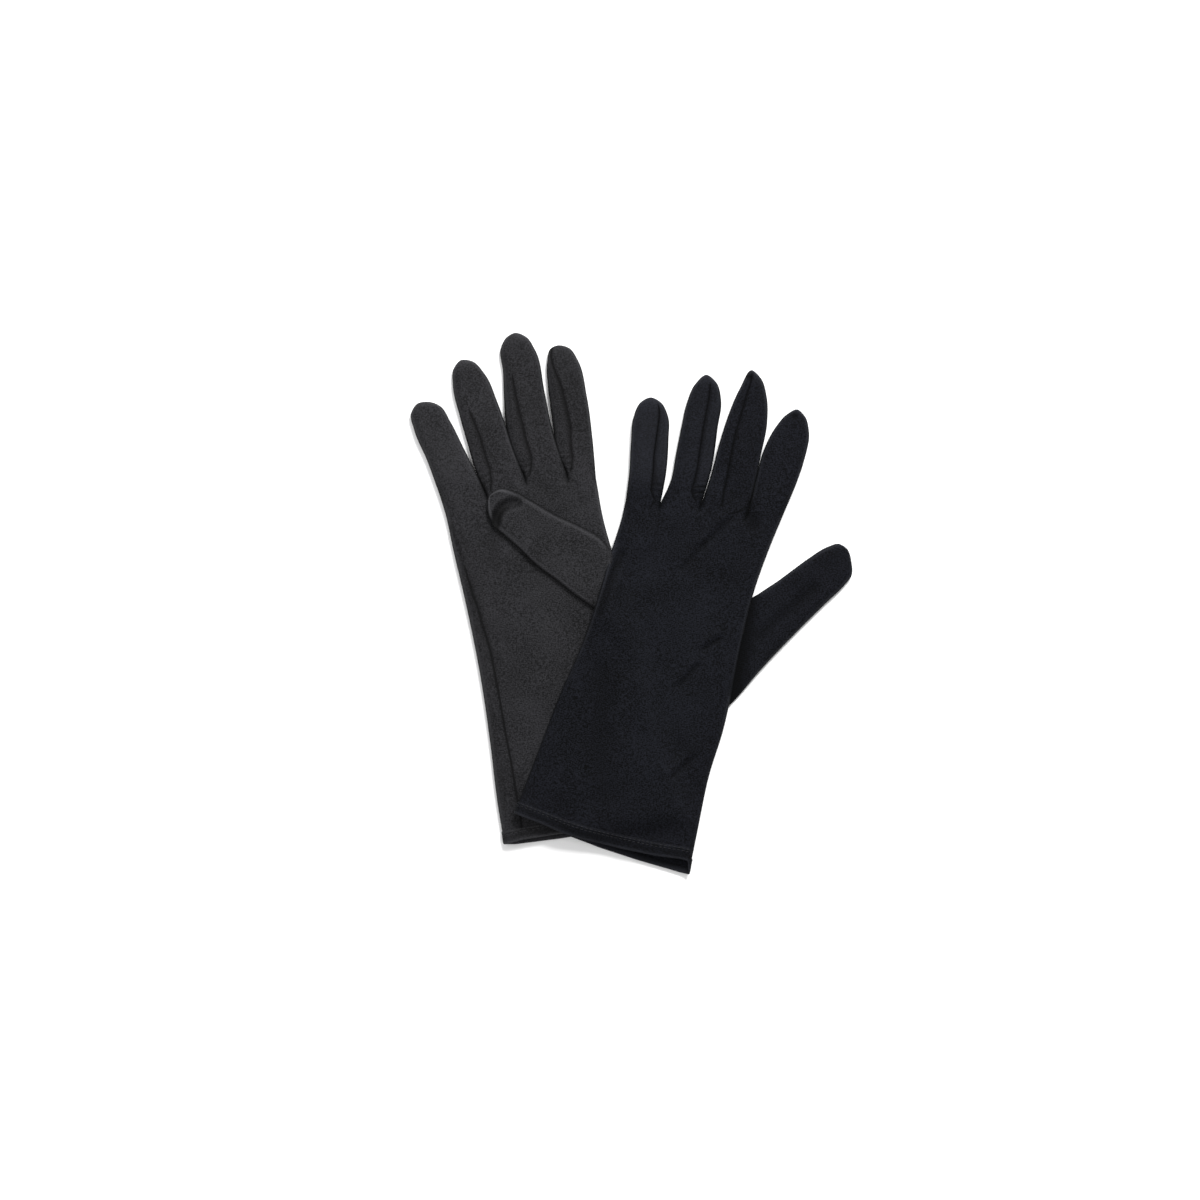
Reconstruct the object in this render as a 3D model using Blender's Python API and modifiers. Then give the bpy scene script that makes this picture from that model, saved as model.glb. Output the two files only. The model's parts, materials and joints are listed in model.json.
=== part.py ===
"""A pair of long stretch gloves, laid flat and one over the other.

The right glove lies palm up with its thumb folded over the palm. The left glove lies back up,
drapes over the right glove's edge and has its thumb out at the side. Each glove is cut and sewn:
two faces of one wrapped cloth, side walls (fold, side seam and fourchettes), a hem and a thumb.

World frame: metres, +Z up, z = 0 is the table, +Y towards the fingertips, and the origin is in
the middle of the pair's outline on the table. A glove's own frame has +y from the middle of the
hem towards the fingers and +x towards the index finger; s runs from the hem (0) to the knuckles
(1) and t from the little-finger side (0) to the index side (1).
"""
import math

import bpy
import numpy as np
from mathutils import Matrix, Vector

MM = 0.001

# Cloth and clearances
CLOTH = 0.8 * MM
HEM_CLOTH = 1.2 * MM
GAP = 0.3 * MM
FINGER_CLEARANCE = 0.6 * MM

# Heights of the flattened tubes, outside
HAND_HEIGHT = 7.0 * MM
FINGER_HEIGHT = 6.0 * MM
FOLDED_THUMB_HEIGHT = 4.5 * MM

# Hand, measured across the glove at distances from the hem
CUFF_WIDTH = 107.0 * MM
FOREARM_WIDTH = 98.0 * MM
FOREARM_FROM_HEM = 60.0 * MM
WRIST_WIDTH = 92.5 * MM
WRIST_FROM_HEM = 100.0 * MM
PALM_WIDTH = 86.5 * MM
PALM_FROM_HEM = 155.0 * MM
KNUCKLES_FROM_HEM = 205.0 * MM
HEM_DEPTH = 7.0 * MM
THUMB_HOLE_FROM_HEM = 100.0 * MM
THUMB_HOLE_LENGTH = 62.0 * MM

# Fingers, little finger first: width at the root and width where the round tip starts
FINGERS = ("little", "ring", "middle", "index")
FINGER_ROOT_WIDTHS = (21.5 * MM, 23.0 * MM, 24.5 * MM, 20.0 * MM)
FINGER_TIP_WIDTHS = (16.5 * MM, 17.5 * MM, 18.0 * MM, 17.0 * MM)
THUMB_BASE_WIDTH = 33.0 * MM
THUMB_TIP_WIDTH = 20.0 * MM
TIP_DEPTH = 9.0 * MM
TIP_SLOPE = 13.0 * MM
FLARE_SHARE = 0.9

# How each glove lies: place and turn of its hem, sideways drift and slope of its knuckle line,
# and each finger's length and lean towards the little-finger side
RIGHT = {
    "side": "right",
    "place": (-20.0 * MM, -132.2 * MM),
    "turn": 9.0,
    "sway": -13.3 * MM,
    "knuckle_slope": -2.6,
    "lengths": (53.0 * MM, 74.5 * MM, 86.0 * MM, 75.5 * MM),
    "leans": (11.5, 6.0, 2.8, -1.7),
    "upper": "palm",
    "lower": "back",
}
LEFT = {
    "side": "left",
    "place": (-16.5 * MM, -139.2 * MM),
    "turn": -17.0,
    "sway": -0.4 * MM,
    "knuckle_slope": 14.1,
    "lengths": (61.0 * MM, 76.5 * MM, 81.0 * MM, 60.5 * MM),
    "leans": (12.6, 8.0, 5.8, 0.5),
    "upper": "back",
    "lower": "palm",
}

# The left thumb lies straight out from its hole; the right one is folded over the palm along a
# crease beside the left glove's edge, from its upper end to its lower end in the glove's frame
LEFT_THUMB_LENGTH = 79.0 * MM
LEFT_THUMB_LEAN = -33.7
RIGHT_THUMB_LENGTH = 76.5 * MM
RIGHT_THUMB_LEAN = 47.7
CREASE_FROM_HOLE_TOP = 4.0 * MM
CREASE_LENGTH = 34.0 * MM
CREASE_TURN = 24.5
CREASE_CLEARANCE = 1.6 * MM

# Drape of the left glove: how far out the slope starts, its length for each millimetre of height,
# and how deep the sloping cloth is from top to bottom, in cloth thicknesses
DRAPE_MARGIN = 8.0 * MM
DRAPE_RUN = 3.43
SLOPED_CLOTH = 1.7
# A digit's side wall stops near its tip where it is lower than one cloth, or than this share of its
# full height where the digit is that flat.
WALL_SHARE = 0.75

# Grid steps
HAND_ROWS = 20
HAND_COLUMNS = 12
ROW_MARGIN = 0.004
DIGIT_ROWS = 7
DIGIT_COLUMNS = 3
TIP_ROWS = 4
TIP_END_ANGLE = 76.0

RIGHT_CLOTH = (0.030, 0.030, 0.032, 1.0)
LEFT_CLOTH = (0.013, 0.014, 0.017, 1.0)
CLOTH_ROUGHNESS = 0.85


def smooth(value):
    """Rise from 0 to 1 with level ends."""
    value = np.clip(value, 0.0, 1.0)
    return value * value * (3.0 - 2.0 * value)


def turned(x, y, degrees):
    """Rotate plan coordinates anticlockwise."""
    angle = math.radians(degrees)
    return x * math.cos(angle) - y * math.sin(angle), x * math.sin(angle) + y * math.cos(angle)


def to_world(glove, x, y):
    """Plan coordinates of a glove's own frame, in the pair's frame."""
    across, along = turned(x, y, glove["turn"])
    return across + glove["place"][0], along + glove["place"][1]


def to_glove(glove, x, y):
    """Plan coordinates of the pair's frame, in a glove's own frame."""
    return turned(x - glove["place"][0], y - glove["place"][1], -glove["turn"])


# Outline of the hand

def hand_width(distance):
    """Width across the glove at a distance from the hem, a smooth curve through five widths."""
    stations = np.array([0.0, FOREARM_FROM_HEM, WRIST_FROM_HEM, PALM_FROM_HEM, KNUCKLES_FROM_HEM])
    widths = np.array([CUFF_WIDTH, FOREARM_WIDTH, WRIST_WIDTH, PALM_WIDTH, sum(FINGER_ROOT_WIDTHS)])
    slopes = np.gradient(widths, stations)
    index = np.clip(np.searchsorted(stations, distance, side="right") - 1, 0, len(stations) - 2)
    span = stations[index + 1] - stations[index]
    u = np.clip((distance - stations[index]) / span, 0.0, 1.0)
    start = (1 + 2 * u) * (1 - u) ** 2 * widths[index] + u * (1 - u) ** 2 * span * slopes[index]
    end = u * u * (3 - 2 * u) * widths[index + 1] - u * u * (1 - u) * span * slopes[index + 1]
    return start + end


def hand_point(glove, s, t):
    """Point of the hand's plan at share s from hem to knuckles and t across it."""
    distance = s * KNUCKLES_FROM_HEM
    drift = glove["sway"] * s ** 1.5
    x = drift + (t - 0.5) * hand_width(distance)
    knuckle_x = (t - 0.5) * sum(FINGER_ROOT_WIDTHS)
    y = s * (KNUCKLES_FROM_HEM + math.tan(math.radians(glove["knuckle_slope"])) * knuckle_x)
    return x, y


def edge_share(glove, distance):
    """Share s at which the index-side edge is at a distance from the hem."""
    return distance / float(hand_point(glove, 1.0, 1.0)[1])


def hand_shares(glove, s_from, s_to):
    """Shares of the hand's length at which its pieces have rows, between two ends."""
    hole = (THUMB_HOLE_FROM_HEM, THUMB_HOLE_FROM_HEM + THUMB_HOLE_LENGTH)
    marks = [HEM_DEPTH / KNUCKLES_FROM_HEM] + [edge_share(glove, distance) for distance in hole]
    shares = np.concatenate([np.linspace(0.0, 1.0, HAND_ROWS + 1), marks])
    inside = (shares > s_from + ROW_MARGIN) & (shares < s_to - ROW_MARGIN)
    return np.concatenate([[s_from], np.sort(shares[inside]), [s_to]])


# Height at which each glove lies

def outside_edges(x, y, corners):
    """Distance outside a convex plan outline given anticlockwise; negative inside."""
    distances = []
    for (x0, y0), (x1, y1) in zip(corners, corners[1:] + corners[:1]):
        length = math.hypot(x1 - x0, y1 - y0)
        distances.append(((x - x0) * (y1 - y0) - (y - y0) * (x1 - x0)) / length)
    return np.max(distances, axis=0)


def drape(distance_outside, rise):
    """Height of cloth laid over an edge: full height to the margin, then a smooth slope down."""
    return rise * smooth(1.0 - (distance_outside - DRAPE_MARGIN) / (DRAPE_RUN * HAND_HEIGHT))


def crease_ends():
    """Lower and upper end of the right thumb's crease, in the right glove's frame."""
    hole_top = THUMB_HOLE_FROM_HEM + THUMB_HOLE_LENGTH
    s_top = edge_share(RIGHT, hole_top - CREASE_FROM_HOLE_TOP)
    upper_x, upper_y = (float(value) for value in hand_point(RIGHT, s_top, 1.0))
    down_x, down_y = turned(0.0, -CREASE_LENGTH, -CREASE_TURN)
    return (upper_x + down_x, upper_y + down_y), (upper_x, upper_y)


def thumb_base_corners():
    """Outline of the folded thumb's base between its crease and the hand's edge, anticlockwise."""
    lower, upper = crease_ends()
    s_low = edge_share(RIGHT, THUMB_HOLE_FROM_HEM)
    hole_low = tuple(float(value) for value in hand_point(RIGHT, s_low, 1.0))
    return [lower, hole_low, upper]


def ground(glove, x, y):
    """Height of whatever a glove lies on, at plan points of its own frame."""
    if glove is RIGHT:
        return np.zeros(np.broadcast(x, y).shape)
    rx, ry = to_glove(RIGHT, *to_world(glove, x, y))
    corners = [tuple(float(value) for value in hand_point(RIGHT, s, t))
               for s, t in ((0.0, 0.0), (0.0, 1.0), (1.0, 1.0), (1.0, 0.0))]
    hand = drape(outside_edges(rx, ry, corners), HAND_HEIGHT + GAP)
    base = drape(outside_edges(rx, ry, thumb_base_corners()), FOLDED_THUMB_HEIGHT + GAP)
    return hand + base


# Fingers and thumbs

def knuckle_point(glove, finger_count, shift):
    """Point on the knuckle line after so many fingers, moved along the line by a shift."""
    width = sum(FINGER_ROOT_WIDTHS)
    t = (sum(FINGER_ROOT_WIDTHS[:finger_count]) + shift) / width
    x, y = hand_point(glove, 1.0, t)
    return float(x), float(y)


class Digit:
    """A finger or thumb: a flattened tube from a straight root to a round closed tip."""

    def __init__(self, glove, root_low, root_high, lean, length, widths, height, level, pivot):
        self.glove = glove
        self.low = np.array(root_low)
        self.high = np.array(root_high)
        self.axis = np.array(turned(0.0, 1.0, lean))
        self.length = length
        self.base_width, self.tip_width = widths
        self.height = height
        self.level = level
        self.pivot_height = pivot

    def rows(self):
        """Distance from the root and narrowing at the tip, row by row."""
        straight = np.linspace(0.0, self.length - TIP_DEPTH, DIGIT_ROWS + 1)
        angle = np.radians(np.linspace(0.0, TIP_END_ANGLE, TIP_ROWS + 1))[1:]
        tip = self.length - TIP_DEPTH * (1.0 - np.sin(angle) / np.sin(angle[-1]))
        distance = np.concatenate([straight, tip])
        narrowing = np.concatenate([np.ones(len(straight)), np.cos(angle) ** 0.7])
        return distance, narrowing

    def edge(self, t):
        """Plan points of the line at share t across the digit, row by row."""
        distance, narrowing = self.rows()
        share = distance / self.length
        across = np.array([self.axis[1], -self.axis[0]])
        if across @ (self.high - self.low) < 0.0:
            across = -across
        middle = (self.low + self.high) / 2.0
        width = self.base_width + (self.tip_width - self.base_width) * share
        root = self.low + t * (self.high - self.low)
        flare = root - middle - (t - 0.5) * self.base_width * across
        sideways = ((t - 0.5) * width * narrowing)[:, None] * across
        fading = np.clip(1.0 - share / FLARE_SHARE, 0.0, 1.0)[:, None] ** 2
        return middle + distance[:, None] * self.axis + sideways + fading * flare

    def top(self):
        """Outside height of the upper face, row by row: level, then down to the seam at the tip."""
        distance, _ = self.rows()
        closed = 2.0 * CLOTH + 2.0 * GAP
        down = smooth((distance - self.length + TIP_SLOPE) / TIP_SLOPE)
        return self.height + (closed - self.height) * down

    def face(self, upper):
        """Grid of the upper or lower face."""
        columns = [self.edge(t) for t in np.linspace(0.0, 1.0, DIGIT_COLUMNS + 1)]
        plan = np.stack(columns, axis=1)
        height = self.top()[:, None] if upper else 0.0
        return self.lifted(plan[..., 0], plan[..., 1], height)

    def wall(self, t):
        """Grid of the side wall at the low (t = 0) or high (t = 1) edge."""
        plan = self.edge(t)
        bottom = SLOPED_CLOTH * CLOTH + GAP
        tops = self.top() - bottom
        keep = tops > bottom + min(CLOTH, WALL_SHARE * (tops.max() - bottom))
        plan = plan[keep]
        x = np.stack([plan[:, 0], plan[:, 0]], axis=1)
        y = np.stack([plan[:, 1], plan[:, 1]], axis=1)
        heights = np.stack([np.full(len(plan), bottom), tops[keep]], axis=1)
        return self.lifted(x, y, heights)

    def lifted(self, x, y, height):
        """Plan points and heights above what the digit lies on, as points of the pair's frame."""
        z = ground(self.glove, x, y) + self.level + height
        world_x, world_y = to_world(self.glove, x, y)
        return np.stack([world_x, world_y, z], axis=-1)

    def hinge(self):
        """Middle and direction of the hinge line across the root, above the cloth on both sides."""
        ends = np.stack([self.low, self.high])
        back = np.array([self.high[1] - self.low[1], self.low[0] - self.high[0]])
        back = back / np.linalg.norm(back)
        if back @ self.axis > 0.0:
            back = -back
        line = ends + back * GAP
        points = self.lifted(line[:, 0], line[:, 1], self.pivot_height)
        middle = points.mean(axis=0)
        middle[2] = points[:, 2].max() + GAP / 2.0
        return middle, points[1] - points[0]


def finger(glove, number):
    """One finger, from just past the knuckle line."""
    low = np.array(knuckle_point(glove, number, FINGER_CLEARANCE))
    high = np.array(knuckle_point(glove, number + 1, -FINGER_CLEARANCE))
    along = (high - low) / np.linalg.norm(high - low)
    ahead = np.array([-along[1], along[0]]) * GAP
    widths = (FINGER_ROOT_WIDTHS[number] - 2.0 * FINGER_CLEARANCE, FINGER_TIP_WIDTHS[number])
    return Digit(glove, low + ahead, high + ahead, glove["leans"][number], glove["lengths"][number],
                 widths, FINGER_HEIGHT, 0.0, HAND_HEIGHT)


def left_thumb():
    """The left thumb, out from its hole, with its root clear of the hand's curved edge."""
    distances = (THUMB_HOLE_FROM_HEM + GAP, THUMB_HOLE_FROM_HEM + THUMB_HOLE_LENGTH - GAP)
    shares = np.linspace(edge_share(LEFT, distances[0]), edge_share(LEFT, distances[1]), HAND_ROWS)
    edge = np.stack(hand_point(LEFT, shares, 1.0), axis=1)
    along = (edge[-1] - edge[0]) / np.linalg.norm(edge[-1] - edge[0])
    outward = np.array([along[1], -along[0]])
    bulge = float(np.max((edge - edge[0]) @ outward))
    clear = outward * (bulge + 2.0 * GAP)
    return Digit(LEFT, edge[0] + clear, edge[-1] + clear, LEFT_THUMB_LEAN, LEFT_THUMB_LENGTH,
                 (THUMB_BASE_WIDTH, THUMB_TIP_WIDTH), FINGER_HEIGHT, 0.0, HAND_HEIGHT)


def right_thumb():
    """The right thumb, folded over the palm from its crease."""
    lower, upper = (np.array(end) for end in crease_ends())
    along = (upper - lower) / np.linalg.norm(upper - lower)
    aside = np.array([-along[1], along[0]]) * CREASE_CLEARANCE
    return Digit(RIGHT, lower + aside, upper + aside, RIGHT_THUMB_LEAN, RIGHT_THUMB_LENGTH,
                 (THUMB_BASE_WIDTH, THUMB_TIP_WIDTH), FOLDED_THUMB_HEIGHT, HAND_HEIGHT + GAP,
                 FOLDED_THUMB_HEIGHT)


# Pieces: each is a grid of points on its outer surface, thickened inwards

class Piece:
    """One cloth piece before it becomes an object."""

    def __init__(self, name, body, points, outward_reversed, thickness, colour):
        self.name = name
        self.body = body
        self.points = points
        self.outward_reversed = outward_reversed
        self.thickness = thickness
        self.colour = colour


def hand_face(glove, name, s_from, s_to, upper, thickness):
    """Upper or lower face of the hand between two shares of its length."""
    s, t = np.meshgrid(hand_shares(glove, s_from, s_to), np.linspace(0.0, 1.0, HAND_COLUMNS + 1),
                       indexing="ij")
    x, y = hand_point(glove, s, t)
    z = ground(glove, x, y) + (HAND_HEIGHT if upper else 0.0)
    world_x, world_y = to_world(glove, x, y)
    return Piece(name, glove["side"] + "_hand", np.stack([world_x, world_y, z], axis=-1),
                 not upper, thickness, glove["colour"])


def hand_wall(glove, name, s_from, s_to, t):
    """Side wall of the hand between two shares of its length, clear of the faces and the hem."""
    x, y = hand_point(glove, hand_shares(glove, s_from, s_to), t)
    inner = max(HEM_CLOTH, SLOPED_CLOTH * CLOTH) + GAP
    z = ground(glove, x, y)[:, None] + np.array([inner, HAND_HEIGHT - inner])[None, :]
    world_x, world_y = to_world(glove, x, y)
    points = np.stack([np.stack([world_x, world_x], axis=1), np.stack([world_y, world_y], axis=1), z],
                      axis=-1)
    return Piece(name, glove["side"] + "_hand", points, t > 0.5, CLOTH, glove["colour"])


def hand_pieces(glove):
    """Faces, hem and side walls of one glove's hand and forearm."""
    side = glove["side"]
    end = 1.0 - GAP / KNUCKLES_FROM_HEM
    hem = HEM_DEPTH / KNUCKLES_FROM_HEM
    hem_gap = GAP / KNUCKLES_FROM_HEM
    hole_low = edge_share(glove, THUMB_HOLE_FROM_HEM)
    hole_high = edge_share(glove, THUMB_HOLE_FROM_HEM + THUMB_HOLE_LENGTH)
    pieces = []
    for upper, face in ((True, glove["upper"]), (False, glove["lower"])):
        pieces.append(hand_face(glove, f"{side}_{face}", hem + hem_gap, end, upper, CLOTH))
        pieces.append(hand_face(glove, f"{side}_hem_{face}", 0.0, hem, upper, HEM_CLOTH))
    pieces.append(hand_wall(glove, f"{side}_side_seam", 0.0, end, 0.0))
    pieces.append(hand_wall(glove, f"{side}_forearm_fold", 0.0, hole_low, 1.0))
    pieces.append(hand_wall(glove, f"{side}_index_fold", hole_high, end, 1.0))
    return pieces


def digit_pieces(glove, digit, name, low_wall, high_wall):
    """Two faces and two side walls of a finger or thumb."""
    body = f"{glove['side']}_{name}"
    faces = (glove["upper"], glove["lower"]) if name != "thumb" else ("upper", "lower")
    return [
        Piece(f"{body}_{faces[0]}", body, digit.face(True), False, CLOTH, glove["colour"]),
        Piece(f"{body}_{faces[1]}", body, digit.face(False), True, CLOTH, glove["colour"]),
        Piece(f"{body}_{low_wall}", body, digit.wall(0.0), False, CLOTH, glove["colour"]),
        Piece(f"{body}_{high_wall}", body, digit.wall(1.0), True, CLOTH, glove["colour"]),
    ]


def finger_pieces(glove, number):
    """One finger's pieces: fourchettes between fingers, the seam and the fold outside them."""
    low_wall = "outer_seam" if number == 0 else "fourchette_low"
    high_wall = "outer_fold" if number == len(FINGERS) - 1 else "fourchette_high"
    return digit_pieces(glove, finger(glove, number), FINGERS[number], low_wall, high_wall)


def thumb_base_pieces():
    """The flattened base of the folded thumb, two faces between the crease and the hand's edge."""
    lower, hole_low, upper = (np.array(corner) for corner in thumb_base_corners())
    u, v = np.meshgrid(np.linspace(0.0, 1.0, 5), np.linspace(0.0, 1.0, 3), indexing="ij")
    u, v = u[..., None], v[..., None]
    tip_share = 0.94
    plan = (1 - v) * (lower + u * tip_share * (upper - lower)) + v * (hole_low + u * tip_share
                                                                      * (upper - hole_low))
    inset = np.array([-CREASE_CLEARANCE, 0.0]) * v
    plan = plan + inset
    pieces = []
    for name, height, reverse in (("upper", FOLDED_THUMB_HEIGHT, False), ("lower", 0.0, True)):
        world_x, world_y = to_world(RIGHT, plan[..., 0], plan[..., 1])
        z = np.full(world_x.shape, HAND_HEIGHT + GAP + height)
        points = np.stack([world_x, world_y, z], axis=-1)
        pieces.append(Piece(f"right_thumb_base_{name}", "right_hand", points, reverse, CLOTH,
                            RIGHT["colour"]))
    return pieces


# Objects

def cloth_material(name, colour):
    """Matte stretch cloth."""
    material = bpy.data.materials.new(name)
    material.use_nodes = True
    shader = material.node_tree.nodes["Principled BSDF"]
    shader.inputs["Base Color"].default_value = colour
    shader.inputs["Roughness"].default_value = CLOTH_ROUGHNESS
    shader.inputs["Metallic"].default_value = 0.0
    return material


def pivot(collection, name, parent, parent_matrix, matrix):
    """An empty whose origin, and X axis if it is a hinge, lie on a joint's axis."""
    empty = bpy.data.objects.new(name, None)
    empty.empty_display_size = 0.02
    collection.objects.link(empty)
    empty.parent = parent
    empty.matrix_basis = parent_matrix.inverted() @ matrix
    return empty


def frame_matrix(point, direction):
    """A frame at a point with its X axis along a direction in plan."""
    heading = math.atan2(direction[1], direction[0])
    return Matrix.Translation(Vector(point)) @ Matrix.Rotation(heading, 4, "Z")


def sheet_object(collection, piece, parent, matrix, shift):
    """Grid of the piece's outer surface with Solidify, under its body's pivot."""
    rows, columns = piece.points.shape[:2]
    inverse = matrix.inverted()
    points = (piece.points - shift).reshape(-1, 3)
    vertices = [inverse @ Vector(point) for point in points]
    number = np.arange(rows * columns).reshape(rows, columns)
    corners = (number[:-1, :-1], number[:-1, 1:], number[1:, 1:], number[1:, :-1])
    faces = np.stack([corner.ravel() for corner in corners], axis=1)
    if piece.outward_reversed:
        faces = faces[:, ::-1]
    mesh = bpy.data.meshes.new(piece.name)
    mesh.from_pydata(vertices, [], faces.tolist())
    mesh.shade_smooth()
    mesh.materials.append(cloth_material(piece.name, piece.colour))
    sheet = bpy.data.objects.new(piece.name, mesh)
    collection.objects.link(sheet)
    sheet.parent = parent
    solidify = sheet.modifiers.new("cloth thickness", "SOLIDIFY")
    solidify.thickness = piece.thickness
    solidify.offset = -1.0
    return sheet


def build():
    """Make both gloves, with the pair's outline centred on the origin."""
    for existing in list(bpy.data.objects):
        bpy.data.objects.remove(existing)
    collection = bpy.data.collections.new("opera_gloves")
    bpy.context.scene.collection.children.link(collection)
    RIGHT["colour"] = RIGHT_CLOTH
    LEFT["colour"] = LEFT_CLOTH

    digits = {}
    pieces = []
    for glove in (RIGHT, LEFT):
        side = glove["side"]
        pieces += hand_pieces(glove)
        for number, name in enumerate(FINGERS):
            digits[f"{side}_{name}"] = finger(glove, number)
            pieces += finger_pieces(glove, number)
        digits[f"{side}_thumb"] = right_thumb() if glove is RIGHT else left_thumb()
        pieces += digit_pieces(glove, digits[f"{side}_thumb"], "thumb", "lower_edge", "upper_edge")
    pieces += thumb_base_pieces()

    every_point = np.concatenate([piece.points.reshape(-1, 3) for piece in pieces])
    shift = (every_point.min(axis=0) + every_point.max(axis=0)) / 2.0
    shift[2] = 0.0

    bodies = {}
    for glove in (RIGHT, LEFT):
        hand = glove["side"] + "_hand"
        place = np.array([glove["place"][0], glove["place"][1], 0.0]) - shift
        matrix = frame_matrix(place, turned(1.0, 0.0, glove["turn"]))
        empty = pivot(collection, hand + "_pivot", None, Matrix.Identity(4), matrix)
        bodies[hand] = (empty, matrix)
    for name, digit in digits.items():
        middle, direction = digit.hinge()
        matrix = frame_matrix(middle - shift, direction)
        hand_empty, hand_matrix = bodies[digit.glove["side"] + "_hand"]
        empty = pivot(collection, name + "_pivot", hand_empty, hand_matrix, matrix)
        bodies[name] = (empty, matrix)
    for piece in pieces:
        parent, matrix = bodies[piece.body]
        sheet_object(collection, piece, parent, matrix, shift)


build()
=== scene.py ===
"""A pair of long stretch gloves, laid flat one over the other: cloth, fourchettes, hems and threads.

Every glove is worked out flat, in millimetres, from the middle of its hem: x towards the index side, y
towards the fingertips, z up. It is then turned and put in its place in the frame, in metres.
"""
import json

import bmesh
import bpy
import numpy as np
from bpy.props import FloatProperty, FloatVectorProperty, PointerProperty
from bpy.types import Operator, Panel, PropertyGroup
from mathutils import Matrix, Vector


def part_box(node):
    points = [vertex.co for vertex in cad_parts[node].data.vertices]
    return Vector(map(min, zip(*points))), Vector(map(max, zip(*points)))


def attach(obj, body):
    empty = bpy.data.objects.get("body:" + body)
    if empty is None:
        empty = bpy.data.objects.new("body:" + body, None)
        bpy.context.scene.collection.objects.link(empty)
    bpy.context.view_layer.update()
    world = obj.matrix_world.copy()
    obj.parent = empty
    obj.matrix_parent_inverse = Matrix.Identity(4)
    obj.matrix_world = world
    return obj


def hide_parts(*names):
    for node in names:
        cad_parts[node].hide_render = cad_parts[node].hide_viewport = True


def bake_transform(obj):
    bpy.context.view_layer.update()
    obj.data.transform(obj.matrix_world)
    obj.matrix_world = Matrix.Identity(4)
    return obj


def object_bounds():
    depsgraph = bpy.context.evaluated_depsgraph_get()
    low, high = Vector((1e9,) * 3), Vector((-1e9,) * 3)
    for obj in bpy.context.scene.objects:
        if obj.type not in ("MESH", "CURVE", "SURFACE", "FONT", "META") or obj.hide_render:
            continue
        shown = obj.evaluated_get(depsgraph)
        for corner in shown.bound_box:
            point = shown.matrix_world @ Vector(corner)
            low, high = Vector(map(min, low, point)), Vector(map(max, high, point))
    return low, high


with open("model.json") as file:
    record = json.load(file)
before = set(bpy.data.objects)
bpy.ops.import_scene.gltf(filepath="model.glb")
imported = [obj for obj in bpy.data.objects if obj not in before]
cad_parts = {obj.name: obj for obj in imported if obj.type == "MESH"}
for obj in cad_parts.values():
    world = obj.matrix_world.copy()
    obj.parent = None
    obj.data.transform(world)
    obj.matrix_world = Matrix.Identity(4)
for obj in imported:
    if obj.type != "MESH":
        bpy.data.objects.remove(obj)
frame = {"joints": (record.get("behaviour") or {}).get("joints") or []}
CAD_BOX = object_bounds()

bl_info = {
    "name": "Long stretch gloves",
    "version": (1, 0, 0),
    "blender": (4, 5, 0),
    "location": "View3D > Sidebar > Gloves",
    "description": "Builds a pair of laid-out stretch gloves, their stitching and the stage",
    "category": "Add Mesh",
}

MM = 0.001
HAND_ROWS = 172
DIGIT_ROWS = 84
BASE_ROWS = 26
# Over how many millimetres the edge of a flattened hand, a flattened digit and the folded thumb is rounded.
HAND_SOFT = 8.0
DIGIT_SOFT = 6.0
FOLDED_SOFT = 5.0
# The gap that keeps the folded thumb off the palm, in millimetres.
THUMB_GAP = 0.15
# The falling sheet: its first corner on the left glove, its step in millimetres and the frames it falls for.
DRAPE_CORNER = (-60.0, -12.0)
DRAPE_STEP = 3.0
DRAPE_FRAMES = 40
# The reach past a finger's root, in millimetres, that bend_from_hand is given.
FINGER_BEND = 13.0
# Hem stitches: how far the two rows are from the mouth, their spacing, length and thickness, in millimetres.
HEM_ROWS = (5.1, 6.4)
STITCH_STEP = 2.6
STITCH_LENGTH = 1.9
THREAD = 0.34
# The least width in metres that cloth_piece holds a piece's measured width to. A declared sheet can't
# be narrower than this many metres, so narrower strips are declared this wide.
NARROWEST_SHEET = 0.01
FINGERS = ("little", "ring", "middle", "index")
JOINTS = {joint["name"]: joint for joint in frame["joints"]}

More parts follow.
